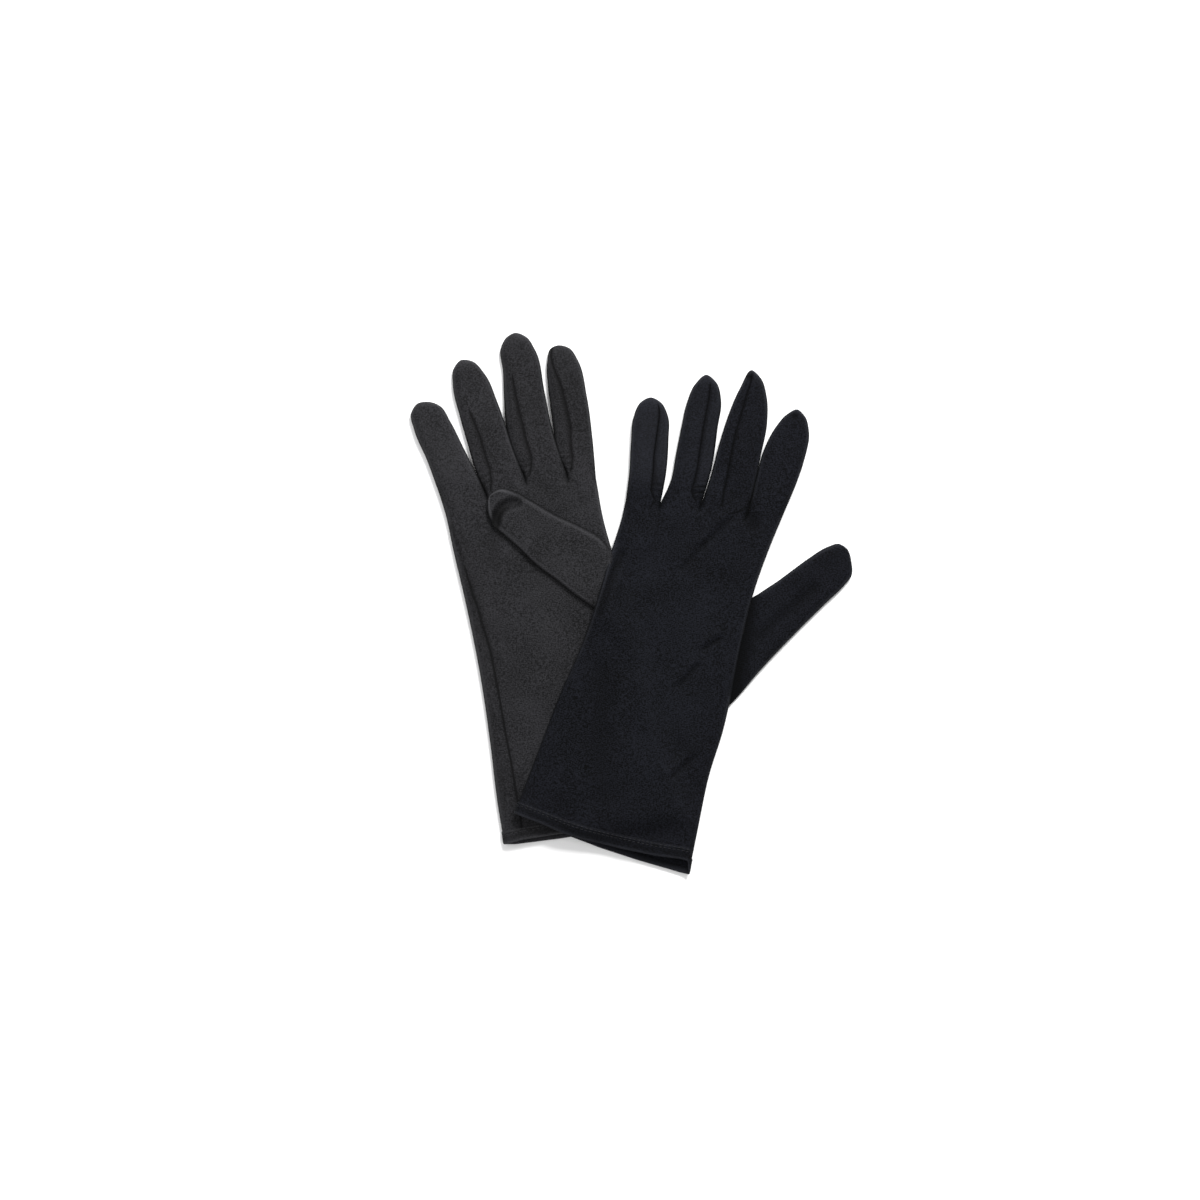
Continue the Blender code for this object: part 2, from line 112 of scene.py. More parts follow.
# The outline of each glove, from its hem to the crotches, and of each digit, from its little-side root over
# the tip and down to its index-side root. Millimetres on the glove laid flat.
RIGHT = {
    "side": "right",
    "turn": 9.0,
    "outer": [(-53.9, 1), (-54, 27), (-52.7, 62), (-52.4, 103), (-54.2, 144), (-56.4, 174), (-57.7, 196),
              (-59.2, 206.5)],
    "inner": [(53.2, -1), (44.5, 70), (40.6, 112), (34.5, 158), (32.3, 178), (31.8, 202.4)],
    "crotches": [(-59.2, 206.5), (-32.5, 202.5), (-9, 209.5), (15.4, 208), (31.8, 202.4)],
    "little": [(-59.2, 206.5), (-63.4, 228), (-67.9, 246), (-68.2, 256), (-63.9, 260.9), (-57.8, 261.2),
               (-50.9, 257.6), (-46.3, 247.4), (-40.9, 230.3), (-36, 215), (-32.5, 202.5)],
    "ring": [(-32.5, 202.5), (-36.6, 218), (-38.7, 234), (-40.6, 250), (-41.8, 268), (-39.6, 278),
             (-35, 281.9), (-28.6, 280.4), (-22.5, 272), (-17.6, 254), (-13, 227), (-9, 209.5)],
    "middle": [(-9, 209.5), (-13.2, 223), (-15, 239), (-13.6, 257), (-11.8, 272), (-11, 285), (-6.5, 291),
               (-1.2, 292.6), (4.5, 289.5), (8.6, 281), (10.2, 256), (11.4, 232), (15.4, 208)],
    "index": [(15.4, 208), (12, 221), (12, 240), (12.6, 260), (14.3, 273), (17.5, 280.4), (22, 281.6),
              (28.3, 279), (32.2, 271), (34, 250), (33.4, 225), (31.8, 202.4)],
    "thumb": [(18.8, 127.6), (9.3, 136.7), (-0.7, 147.5), (-10.8, 158), (-18, 167.8), (-25.5, 176.9),
              (-31.6, 184.8), (-33, 192), (-31.2, 200.6), (-24, 204.7), (-15.6, 201.6), (-7.8, 195.7),
              (4, 186), (18.5, 176),
              (28.5, 168), (33.4, 160)],
    "seams": {"ring": ("low", [(0, 0.12), (0.07, 0.24), (0.15, 0.33), (0.4, 0.34), (0.62, 0.26), (1, 0.12)],
                       0.62),
              "middle": ("low", [(0, 0.12), (0.06, 0.26), (0.13, 0.37), (0.35, 0.38), (0.6, 0.27),
                                 (1, 0.12)], 0.7),
              "index": ("low", [(0, 0.12), (0.05, 0.25), (0.12, 0.38), (0.35, 0.46), (0.62, 0.38),
                                (0.86, 0.14), (1, 0.12)], 1.0)},
}
LEFT = {
    "side": "left",
    "turn": -17.0,
    "outer": [(-53.5, 3), (-51.2, 35), (-48.2, 78), (-44.6, 110), (-43.9, 140), (-44.3, 163), (-44.2, 185),
              (-44.9, 194.3)],
    "inner": [(53.3, 3), (50.7, 27), (47.9, 56), (48, 84), (46.6, 104), (43.2, 136), (41.6, 165), (42.8, 192),
              (45.2, 216.7)],
    "crotches": [(-44.9, 194.3), (-25.1, 199.1), (-2.4, 206.1), (24.9, 208.3), (45.2, 216.7)],
    "little": [(-44.9, 194.3), (-47.6, 210), (-52, 228), (-54.7, 242), (-53.4, 251), (-48.6, 255.6),
               (-42, 254.6), (-35.6, 248), (-31.4, 235), (-27.4, 218), (-25.1, 199.1)],
    "ring": [(-25.1, 199.1), (-23.3, 213), (-25, 229), (-26.6, 245), (-27.6, 259), (-26, 271), (-21.6, 277.6),
             (-14.6, 275), (-9, 266), (-6.2, 250), (-2.8, 228), (-2.4, 206.1)],
    "middle": [(-2.4, 206.1), (-2, 222), (-2.7, 242), (-2.4, 261), (-0.6, 276), (3, 287.9), (9.2, 285),
               (15.8, 275.4), (20.4, 261), (22.4, 242), (24, 225), (24.9, 208.3)],
    "index": [(24.9, 208.3), (23.6, 228), (23, 245), (25.6, 260), (30, 269.6), (34.6, 273.8), (40, 271.4),
              (45.2, 263), (47.2, 247), (46.8, 233), (45.2, 216.7)],
    "thumb": [(37, 158), (43, 163.4), (48, 169.4), (52.8, 175.2), (59.3, 184), (66.2, 193.2), (75, 203),
              (80.4, 206.4), (86, 205), (90.6, 198.6), (93, 190.6), (91, 185.2), (83, 170.6), (73.4, 152.8),
              (58.3, 122.7), (49, 101.4),
              (45, 94)],
    "seams": {"little": ("high", [(0, 0.88), (0.04, 0.76), (0.1, 0.66), (0.4, 0.62), (0.7, 0.7), (1, 0.85)],
                         0.9),
              "ring": ("high", [(0, 0.88), (0.04, 0.74), (0.1, 0.63), (0.4, 0.6), (0.75, 0.6), (1, 0.7)],
                       0.93),
              "middle": ("high", [(0, 0.43), (0.12, 0.37), (0.5, 0.3), (0.8, 0.32), (1, 0.45)], 0.97, 9)},
}

# Drag wrinkles: from (x, y) to (x, y), height and half width, in millimetres. A negative height is a hollow.
WRINKLES = {
    "left": [
        ((15.6, 201.5), (5.5, 182.4), -1.1, 1.5),
        ((5.5, 182.4), (-2.2, 166), -0.8, 1.5),
        ((12.2, 202.6), (2.4, 184), 0.8, 2.0),
        ((19.4, 199), (9.4, 180), 0.4, 2.0),
        ((30.7, 133.7), (23.5, 125.4), -1.0, 1.4),
        ((28.4, 137), (20.4, 127.6), 0.7, 1.9),
        ((22.6, 115.4), (16, 101), -1.1, 1.4),
        ((19.4, 116), (13, 102), 0.7, 1.9),
        ((36.4, 64), (27.3, 49.6), -0.9, 1.5),
        ((32.6, 64), (24, 51), 0.6, 2.2),
        ((43.6, 143), (45.4, 104), -1.0, 1.0),
        ((40.4, 143), (42.2, 104), 0.6, 1.7),
        ((-38.4, 164), (-40.4, 128), -1.6, 2.2),
        ((-34, 166), (-36, 126), 0.4, 2.6),
        ((26.6, 216), (29.5, 202), -1.4, 3.6),
        ((-18, 150), (6, 78), 0.5, 9.0),
        ((-30, 96), (-8, 30), -0.5, 8.0),
    ],
    "right": [
        ((-50, 150), (-44.5, 108), -0.5, 3.0),
        ((-30, 190), (-36, 160), -0.5, 3.4),
        ((-10, 120), (-30, 40), 0.4, 9.0),
        ((-4, 206), (6, 196), -0.4, 3.0),
        ((14, 205), (22, 190), -0.4, 3.4),
    ],
}
SIDE_SEAM = [(-42.1, 8), (-42.3, 42), (-43, 66), (-43.3, 90), (-44.4, 113), (-47, 135), (-50, 153),
             (-53.2, 176),
             (-55.6, 188)]


def smooth(value):
    """A step from 0 to 1 with level ends: 3 v squared minus 2 v cubed, v held between 0 and 1."""
    v = np.clip(value, 0.0, 1.0)
    return v * v * (3 - 2 * v)


def rise(distance, radius):
    """A rounded edge: a quarter of an ellipse that climbs from 0 at the edge to 1 at the radius, then stays
    level."""
    v = np.clip(np.asarray(distance) / radius, 0.0, 1.0)
    return np.sqrt(np.clip(1 - (1 - v) ** 2, 0.0, 1.0))


def through(keys, share):
    """Points at these shares of the way along a curve through the keys: cubic Hermite pieces over the chord
    length, with each key's slope taken from its two neighbours."""
    keys = np.asarray(keys, float)
    steps = np.linalg.norm(np.diff(keys, axis=0), axis=1)
    at = np.concatenate([[0.0], np.cumsum(steps)]) / steps.sum()
    slope = np.gradient(keys, at, axis=0)
    share = np.clip(np.asarray(share, float), 0.0, 1.0)
    i = np.clip(np.searchsorted(at, share, side="right") - 1, 0, len(at) - 2)
    gap = (at[i + 1] - at[i])[..., None]
    v = ((share - at[i]) / (at[i + 1] - at[i]))[..., None]
    return (
        (2 * v**3 - 3 * v**2 + 1) * keys[i]
        + (v**3 - 2 * v**2 + v) * gap * slope[i]
        + (3 * v**2 - 2 * v**3) * keys[i + 1]
        + (v**3 - v**2) * gap * slope[i + 1]
    )


def segment_distance(points, start, end):
    """How far each point is from a straight piece, and how far along it the nearest place is, from 0 to 1."""
    a = np.asarray(start, float)
    run = np.asarray(end, float) - a
    along = np.clip(((points - a) @ run) / (run @ run), 0.0, 1.0)
    return np.linalg.norm(points - a - along[..., None] * run, axis=-1), along


def curve_distance(points, keys):
    """The distance from each point to a polyline: the least of the distances to its pieces."""
    return np.min([segment_distance(points, a, b)[0] for a, b in zip(keys[:-1], keys[1:])], axis=0)


def ripples(points, seed, wavelength, count=14):
    """Soft unevenness: a mean of plane waves with seeded directions and phases, of about this wavelength."""
    rng = np.random.default_rng(seed)
    angle = rng.uniform(0, np.pi, count)
    pace = 2 * np.pi / (wavelength * rng.uniform(0.7, 1.6, count))
    phase = rng.uniform(0, 2 * np.pi, count)
    waves = [np.sin(pace[k] * (points[..., 0] * np.cos(angle[k]) + points[...,
                                                                          1] * np.sin(angle[k])) + phase[k])
             for k in range(count)]
    return np.sum(waves, axis=0) / np.sqrt(count)


def turned(points, degrees):
    """Points turned about the vertical by an angle."""
    a = np.radians(degrees)
    x, y = points[..., 0], points[..., 1]
    moved = points.copy()
    moved[..., 0] = x * np.cos(a) - y * np.sin(a)
    moved[..., 1] = x * np.sin(a) + y * np.cos(a)
    return moved


def hem_middle(glove):
    """The middle of a glove's hem in the frame, in millimetres: half a hem below the middle of its hem's
    boxes."""
    boxes = [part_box(f"{glove['side']}_hem_{face}") for face in ("back", "palm")]
    middle = np.mean([[(np.array(lo) + np.array(hi)) / 2 for lo, hi in boxes]], axis=(0, 1))[:2] / MM
    return middle - turned(np.array([0.0, 3.5]), glove["turn"])


def to_frame(points, glove):
    """Millimetres on a flat glove, moved to metres in the frame."""
    placed = turned(points, glove["turn"])
    placed[..., :2] += hem_middle(glove)
    return placed * MM


def in_other(points, glove, other):
    """Millimetres on one flat glove, read in another glove's own millimetres."""
    placed = turned(points, glove["turn"])
    placed[..., :2] += hem_middle(glove) - hem_middle(other)
    return turned(placed, -other["turn"])


# How much paler each finger's cloth is in tone, or with a minus sign how much darker.
FINGER_TONE = {"right": {"little": 0.07, "ring": 0.0, "middle": -0.12, "index": -0.16},
         "left": {"little": 0.34, "ring": 0.12, "middle": 0.0, "index": 0.0}}
# Seams that don't follow a column of points: polylines on the flat glove, and how wide each shows.
# Each is drawn as a narrow dark strip of painted shade.
SEAM_LINES = {
    "right": [("side_seam", [(-42.1, 0.5)] + SIDE_SEAM[1:-2] + [(-51.2, 164)], 1.15)],
    "left": [("middle_gusset_seam", [(14.0, 203.8), (18.5, 206.6), (23.4, 211.0)], 0.9),
             ("little_gusset_seam", [(-30.1, 194.6), (-28.6, 198.6), (-25.4, 199.6)], 0.9)],
}
# The line of the folded thumb's curled tip, where the cloth sinks and painted shadow lies.
TIP_POCKET = [(-29.8, 184.6), (-28.2, 189.6), (-25.0, 193.6), (-19.8, 195.6), (-15.5, 195.2)]


# ---------------------------------------------------------------- shapes


COLUMNS = 20
SEAM_COLUMN = 4


def column_shares():
    """Shares across one finger, closer together at both edges: a mean of even steps and half a cosine."""
    v = np.linspace(0, 1, COLUMNS + 1)
    return 0.4 * v + 0.6 * (0.5 - 0.5 * np.cos(np.pi * v))


def ring(shares):
    """Once round a flat tube: out across the top, back across the bottom, with both edges shared. Gives the
    shares and a mark that is true on the bottom."""
    back = shares[-2:0:-1]
    under = np.concatenate([np.zeros(len(shares), bool), np.ones(len(back), bool)])
    return np.concatenate([shares, back]), under


def tube_height(edge, under, height, soft):
    """Heights round a flattened tube. Top and bottom meet at 0.35 of the height, and each curves away from
    there as a quarter ellipse, the bottom to the surface it lies on and the top to the full height."""
    middle = 0.35 * height
    top = middle + (height - middle) * rise(edge, soft)
    bottom = middle * (1 - rise(edge, 0.6 * soft))
    return np.where(under, bottom, top)


def right_ground(xy):
    """The right glove lies on the surface."""
    return np.zeros(xy.shape[:-1])


DRAPED = {}


def drape_over_right():
    """Lets a sheet as large as the left glove's hand fall on the right glove and the surface, with
    Blender's cloth, and keeps the heights where it comes to rest. Without a simulation the steps of
    left_ground stay."""
    scene = bpy.context.scene
    sizes = scene.glove_sizes
    far, near = np.meshgrid(np.arange(-76.0, 77, 2.5), np.arange(-30.0, 246, 2.5))
    bed = np.stack([far, near], -1)
    other = in_other(np.concatenate([bed, np.zeros(bed.shape[:-1] + (1,))], -1), LEFT, RIGHT)
    inner = np.array(RIGHT["inner"])
    inside = np.minimum(np.interp(other[..., 1], inner[:, 1], inner[:, 0]) - other[..., 0], other[..., 1])
    hill = sizes.hand_height * rise(inside + 0.5, 6.0) * (inside > -0.5)
    hill = hill + thumb_bump(other, sizes)
    bed = np.concatenate([bed, hill[..., None]], -1)
    across, along = np.meshgrid(np.arange(DRAPE_CORNER[0], 61, DRAPE_STEP),
                                np.arange(DRAPE_CORNER[1], 229, DRAPE_STEP))
    cover = np.stack([across, along, 0 * across + hill.max() + 2.5], -1)
    objects = []
    for name, grid in (("bed", bed), ("cover", cover)):
        mesh = bpy.data.meshes.new(name)
        faces = grid_faces(*grid.shape[:2])
        mesh.from_pydata(to_frame(grid, LEFT).reshape(-1, 3).tolist(), [], faces.tolist())
        objects.append(bpy.data.objects.new(name, mesh))
        scene.collection.objects.link(objects[-1])
    objects[0].modifiers.new("solid", "COLLISION")
    objects[0].collision.thickness_outer = 0.0006
    objects[0].collision.cloth_friction = 40
    cloth = objects[1].modifiers.new("fall", "CLOTH")
    cloth.settings.quality = 8
    cloth.settings.mass = 0.12
    cloth.settings.tension_stiffness = 12
    cloth.settings.compression_stiffness = 12
    cloth.settings.bending_stiffness = 0.02
    cloth.settings.air_damping = 2.0
    cloth.collision_settings.distance_min = 0.0006
    cloth.collision_settings.collision_quality = 3
    cloth.point_cache.frame_end = DRAPE_FRAMES
    for number in range(1, DRAPE_FRAMES + 1):
        scene.frame_set(number)
    graph = bpy.context.evaluated_depsgraph_get()
    fallen = objects[1].evaluated_get(graph).to_mesh()
    height = np.zeros(len(fallen.vertices) * 3, np.float32)
    fallen.vertices.foreach_get("co", height)
    height = height.reshape(across.shape + (3,))[..., 2].astype(float) / MM - 1.2
    objects[1].evaluated_get(graph).to_mesh_clear()
    scene.frame_set(1)
    for item in objects:
        mesh = item.data
        bpy.data.objects.remove(item)
        bpy.data.meshes.remove(mesh)
    for _ in range(2):
        padded = np.pad(height, 1, mode="edge")
        beside = padded[:-2, 1:-1] + padded[2:, 1:-1] + padded[1:-1, :-2] + padded[1:-1, 2:]
        height = (beside + 2 * height) / 6
    DRAPED["height"] = np.clip(height, 0, None)
    print("draped sheet, millimetres:", round(float(height.min()), 2), round(float(height.max()), 2))


def draped_height(xy):
    """The fallen sheet's height at points on the flat left glove: bilinear between its points."""
    grid = DRAPED["height"]
    u = np.clip((xy[..., 0] - DRAPE_CORNER[0]) / DRAPE_STEP, 0, grid.shape[1] - 1.001)
    v = np.clip((xy[..., 1] - DRAPE_CORNER[1]) / DRAPE_STEP, 0, grid.shape[0] - 1.001)
    i, j = v.astype(int), u.astype(int)
    a, b = v - i, u - j
    return ((1 - a) * (1 - b) * grid[i, j] + (1 - a) * b * grid[i, j + 1]
            + a * (1 - b) * grid[i + 1, j] + a * b * grid[i + 1, j + 1])


def thumb_bump(other, sizes):
    """The height that the right thumb's base adds, at points on the flat right glove: smooth steps across
    it."""
    x, y = other[..., 0], other[..., 1]
    inner = np.array(RIGHT["inner"])
    past = x - np.interp(y, inner[:, 1], inner[:, 0])
    low, high = np.array([18.8, 127.6]), np.array([41.8, 100.8])
    run = (high - low) / np.linalg.norm(high - low)
    above = (x - low[0]) * -run[1] + (y - low[1]) * run[0]
    bump = smooth((above + 7) / 9) * (1 - smooth((y - 160) / 14)) * (1 - smooth((past + 12) / 16))
    return (sizes.thumb_height - 0.3) * bump


def left_ground(xy):
    """What the left glove lies on: the fallen sheet's height, or without one the top of the right glove,
    falling off past its inner edge and its hem as a smooth step, with a second step over the right thumb's
    base."""
    sizes = bpy.context.scene.glove_sizes
    if DRAPED:
        return draped_height(xy)
    other = in_other(np.concatenate([xy, np.zeros(xy.shape[:-1] + (1,))], -1), LEFT, RIGHT)
    x, y = other[..., 0], other[..., 1]
    inner = np.array(RIGHT["inner"])
    past = x - np.interp(y, inner[:, 1], inner[:, 0])
    on_glove = (1 - smooth((past + 2) / sizes.drape_run)) * (1 - smooth((-y - 1) / 16))
    return sizes.hand_height * on_glove + thumb_bump(other, sizes)


GROUND = {"right": right_ground, "left": left_ground}


def unevenness(points, seed):
    """Soft waves of three sizes, as cloth lies that has been pulled flat by hand."""
    return (0.20 * ripples(points, seed, 36) + 0.09 * ripples(points, seed + 1, 13)
            + 0.035 * ripples(points, seed + 2, 4.5))


def wrinkle_relief(points, side):
    """The sum of the drag wrinkles: each is a bell across its line."""
    total = np.zeros(points.shape[:-1])
    for start, end, height, width in WRINKLES[side]:
        away, _ = segment_distance(points, start, end)
        total += height * np.exp(-(away / width) ** 2)
    return total


def outline_shade(edge):
    """Painted shade where the cloth turns under: a thin dark bell half a millimetre wide at the edge."""
    return np.exp(-(edge / 0.45) ** 2)


def seam_relief(away, along):
    """A seam: a narrow groove at the stitches with a soft swelling on each side, drawn in by each stitch."""
    swelling = 0.28 * np.exp(-((away - 1.7) / 0.9) ** 2)
    pucker = 0.10 * np.sin(2 * np.pi * along / 2.4) * np.exp(-(away / 2.6) ** 2)
    return swelling + pucker - 0.62 * np.exp(-(away / 0.6) ** 2)


def hem_offset(share, under, glove):
    """How far the mouth's edge lies past a straight hem, at shares across. The lower layer looks out a
    little."""
    if glove["side"] == "left":
        top = np.interp(share, [0, 0.15, 0.27, 0.4, 0.6, 0.8, 0.93, 0.975, 1],
                        [0, -1.2, -2.8, -3, -2, 0, 2.4, 2.6, -5])
        bottom = np.interp(share, [0, 0.09, 0.3, 0.5, 0.72, 0.96, 1], [0, -0.8, -3.6, -5.4, -5.8, -5.4, -5])
    else:
        top = np.interp(share, [0, 0.1, 0.3, 0.6, 1], [0, 1.4, 1.8, 1.0, 0])
        bottom = np.interp(share, [0, 0.06, 0.3, 0.6, 1], [0, -0.9, -1.2, -0.6, 0])
    return np.where(under, bottom, top)


def hand_tube(glove):
    """The hand and forearm of a glove: rows from the hem to the crotches, columns once round. The outline
    runs between the two edge curves. Near the last row the flat tube turns into four, one for each
    finger."""
    sizes = bpy.context.scene.glove_sizes
    crotches = np.array(glove["crotches"], float)
    line = crotches[-1] - crotches[0]
    at = (crotches - crotches[0]) @ line / (line @ line)
    q = column_shares()
    across = np.concatenate([at[k] + q[:-1] * (at[k + 1] - at[k]) for k in range(4)] + [[1.0]])
    share, under = ring(across)
    k = np.clip(np.searchsorted(at, share, side="right") - 1, 0, 3)
    own = (share - at[k]) / (at[k + 1] - at[k])
    widths = np.linalg.norm(np.diff(crotches, axis=0), axis=1)[k]
    rows = np.linspace(0, 1, HAND_ROWS)
    rows = rows + 0.02 * np.sin(2 * np.pi * rows) / (2 * np.pi)
    outer = through(glove["outer"], rows)[:, None]
    inner = through(glove["inner"], rows)[:, None]
    row_line = np.stack([np.interp(share, at, crotches[:, c]) for c in (0, 1)], -1)
    bow = row_line - (crotches[0] + share[:, None] * line)
    s = rows[:, None]
    xy = outer + share[None, :, None] * (inner - outer) + (s**6)[..., None] * bow
    xy[..., 1] += hem_offset(share, under, glove) * np.clip(1 - s / 0.35, 0, 1) ** 2
    width = np.linalg.norm(inner - outer, axis=-1)
    length = crotches[:, 1].mean()
    single = np.minimum(share, 1 - share) * width
    four = np.minimum(own, 1 - own) * widths
    turn = smooth((s - 1) * length / 8 + 1)
    height = sizes.hand_height + (sizes.finger_height - sizes.hand_height) * turn
    z = (1 - turn) * tube_height(single, under, height, HAND_SOFT)
    z = z + turn * tube_height(four[None], under, height, DIGIT_SOFT)
    points = np.concatenate([xy, z[..., None]], -1)
    return points, {"under": np.broadcast_to(under, z.shape), "edge": single,
                    "four": four + 0 * s, "turn": turn + 0 * share}


def hand_surface(glove):
    """The hand tube with its relief and its place's height, and its painted shade and highlights."""
    points, at = hand_tube(glove)
    side = glove["side"]
    xy = points[..., :2]
    top = ~at["under"]
    level = rise(at["edge"], 6.0)
    wrinkles = wrinkle_relief(xy, side)
    relief = unevenness(xy, 11 if side == "left" else 23) + wrinkles
    shade = np.zeros(top.shape)
    if side == "right":
        away = curve_distance(xy, SIDE_SEAM)
        relief = relief + seam_relief(away, xy[..., 1])
        # Painted shade along the side seam's groove.
        shade = 0.5 * np.exp(-(away / 0.8) ** 2)
    # Painted shade in the crotches between the fingers, and in the hollows of the drag wrinkles.
    crotch = np.exp(-(at["four"] / 1.4) ** 2) * at["turn"]
    shade = np.maximum(shade, 0.85 * crotch) + np.clip(-wrinkles, 0, 1) * 0.5
    points[..., 2] += np.where(top, relief * level * (1 - 0.8 * at["turn"] ** 2), 0.0)
    # Painted highlight: a pale line just inside the folded edges, fainter towards the left glove's hem.
    highlight_and_tone = 0.6 * np.exp(-((at["edge"] - 1.0) / 0.7) ** 2) * (1 - at["turn"])
    if side == "left":
        highlight_and_tone = highlight_and_tone * (0.1 + 0.9 * smooth((xy[..., 1] - 70) / 50))
    # Painted shade: a thin dark line where the cloth turns under at its edges.
    shade = shade + 0.8 * outline_shade(at["edge"]) * (1 - at["turn"])
    ground = GROUND[side](xy)
    if side == "left":
        corner = np.array([-50, 0])
        ground = ground + 3.0 * np.exp(-(((xy - corner) / np.array([13, 10])) ** 2).sum(-1))
    points[..., 2] += ground
    return points, np.where(top, np.clip(shade, 0, 1), 0), highlight_and_tone


def digit_outline(keys, share):
    """The two sides of a digit at shares of the way from its root to its tip, which is the place on the
    outline that is farthest from the middle of the root."""
    keys = np.array(keys, float)
    root = (keys[0] + keys[-1]) / 2
    probe = np.linspace(0.2, 0.8, 601)
    tip = probe[np.argmax(np.linalg.norm(through(keys, probe) - root, axis=1))]
    return through(keys, share * tip), through(keys, 1 - share * (1 - tip))


def seam_column(seam):
    """The column that a finger's top seam follows, counted from the little side: its own, or the usual
    one."""
    if len(seam) == 4:
        return seam[3]
    return SEAM_COLUMN if seam[0] == "low" else COLUMNS - SEAM_COLUMN


def digit_tube(keys, height, soft, seam=None):
    """A digit: rows from its root to its tip, where they close in a point, and columns once round. With a
    seam, (which side, where it runs across, how far up), the top's columns move over so that one column
    follows it."""
    v = np.linspace(0, 1, DIGIT_ROWS)
    v = 0.55 * v + 0.45 * np.sin(np.pi / 2 * v)
    low, high = digit_outline(keys, v)
    q, under = ring(column_shares())
    own = np.repeat(q[None], DIGIT_ROWS, 0)
    if seam is not None:
        start = column_shares()[seam_column(seam)]
        course = np.array(seam[1])
        line = start + (np.interp(v, course[:, 0], course[:, 1]) - start) * smooth(v / 0.012)
        line = line[:, None]
        past = line + (own - start) * (1 - line) / (1 - start)
        moved = np.where(own <= start, own * line / start, past)
        own = np.where(under, own, moved)
    xy = low[:, None] + own[..., None] * (high - low)[:, None]
    width = np.linalg.norm(high - low, axis=-1)[:, None]
    edge = np.minimum(own, 1 - own) * width
    z = tube_height(edge, under, height, soft)
    points = np.concatenate([xy, z[..., None]], -1)
    return points, {"v": v[:, None] + 0 * own, "own": own, "edge": edge, "width": width + 0 * own,
                    "under": np.broadcast_to(under, own.shape), "seam": None if seam is None else line}


def finger_surface(glove, name):
    """A finger with its seam, its puckers at the crotch, and its unevenness; with painted shade in its seam,
    puckers, edges and gathered tip, painted highlights along its edges and at its tip, and its own tone.
    """
    sizes = bpy.context.scene.glove_sizes
    seam = glove["seams"].get(name)
    points, at = digit_tube(glove[name], sizes.finger_height, DIGIT_SOFT, seam)
    xy = points[..., :2]
    seed = 40 + 5 * FINGERS.index(name) + (0 if glove["side"] == "left" else 31)
    level = rise(at["edge"], 6.0)
    length = np.linalg.norm(np.mean([glove[name][0], glove[name][-1]], axis=0) - xy[-1, 0])
    up = at["v"] * length
    relief = 0.9 * unevenness(xy, seed) * smooth(at["v"] / 0.1)
    shade = np.zeros(level.shape)
    tone = FINGER_TONE[glove["side"]][name] * smooth(at["v"] / 0.4)
    # Painted highlight at the fingertip, plus the finger's paler tone.
    pale = 0.5 * np.exp(-((1 - at["v"]) / 0.09) ** 2) + np.clip(tone, 0, 1)
    if seam is not None:
        which, reach = seam[0], seam[2]
        away = np.abs(at["own"] - at["seam"]) * at["width"]
        there = (1 - smooth((at["v"] - reach + 0.08) / 0.08)) * smooth(at["v"] / 0.02)
        relief = relief + seam_relief(away, up) * there
        # Painted shade in the seam's groove.
        shade = 0.85 * np.exp(-(away / 0.6) ** 2) * there
        strip = at["own"] < at["seam"] if which == "low" else at["own"] > at["seam"]
        gather = strip * np.exp(-((up - 7) / 6) ** 2)
        strong = {("left", "ring"): 1.8, ("left", "middle"): 0.35}.get((glove["side"], name), 1.0)
        wave = np.sin(2 * np.pi * up / 3.4)
        relief = relief + 0.45 * strong * wave * gather
        # Painted shade in the troughs of the puckers.
        shade = shade + 0.6 * strong * gather * np.clip(-wave, 0, 1)
        lower_half = smooth(at["v"] / 0.14) * (1 - smooth((at["v"] - 0.5) / 0.3))
        # The left ring finger's strip is a little paler in tone.
        pale = pale + 0.12 * max(strong - 1, 0) * strip * lower_half
        relief = relief - 0.5 * strip * smooth(at["v"] / 0.1) * there * (1 - at["v"])
    points[..., 2] += np.where(at["under"], 0, relief * level)
    # Painted highlight: a pale line just inside the folded edges.
    highlight_and_tone = 0.6 * np.exp(-((at["edge"] - 0.9) / 0.6) ** 2) * smooth((at["v"] - 0.05) / 0.1)
    # The finger's darker tone, added to the painted shade.
    shade = shade + np.clip(-tone, 0, 1)
    touching = 1 - smooth((at["v"] - 0.1) / 0.3)
    # Painted shade at the edges where the cloth turns under, wider where the fingers touch.
    shade = shade + 0.9 * outline_shade(at["edge"] / (1 + 1.2 * touching))
    # Painted shade in the gathered tips of the left middle and index fingers, which also sink a little.
    if glove["side"] == "left" and name in ("middle", "index"):
        gathered = xy[-1, 0] + np.array([-0.6, -4.2])
        knot = np.exp(-(((xy - gathered) / np.array([2.3, 2.0])) ** 2).sum(-1))
        shade = shade + 0.95 * knot
        points[..., 2] -= np.where(at["under"], 0, 0.7 * knot * level)
    points[..., 2] += GROUND[glove["side"]](xy)
    return points, np.where(at["under"], 0, np.clip(shade, 0, 1)), np.clip(highlight_and_tone + pale, 0, 1), at


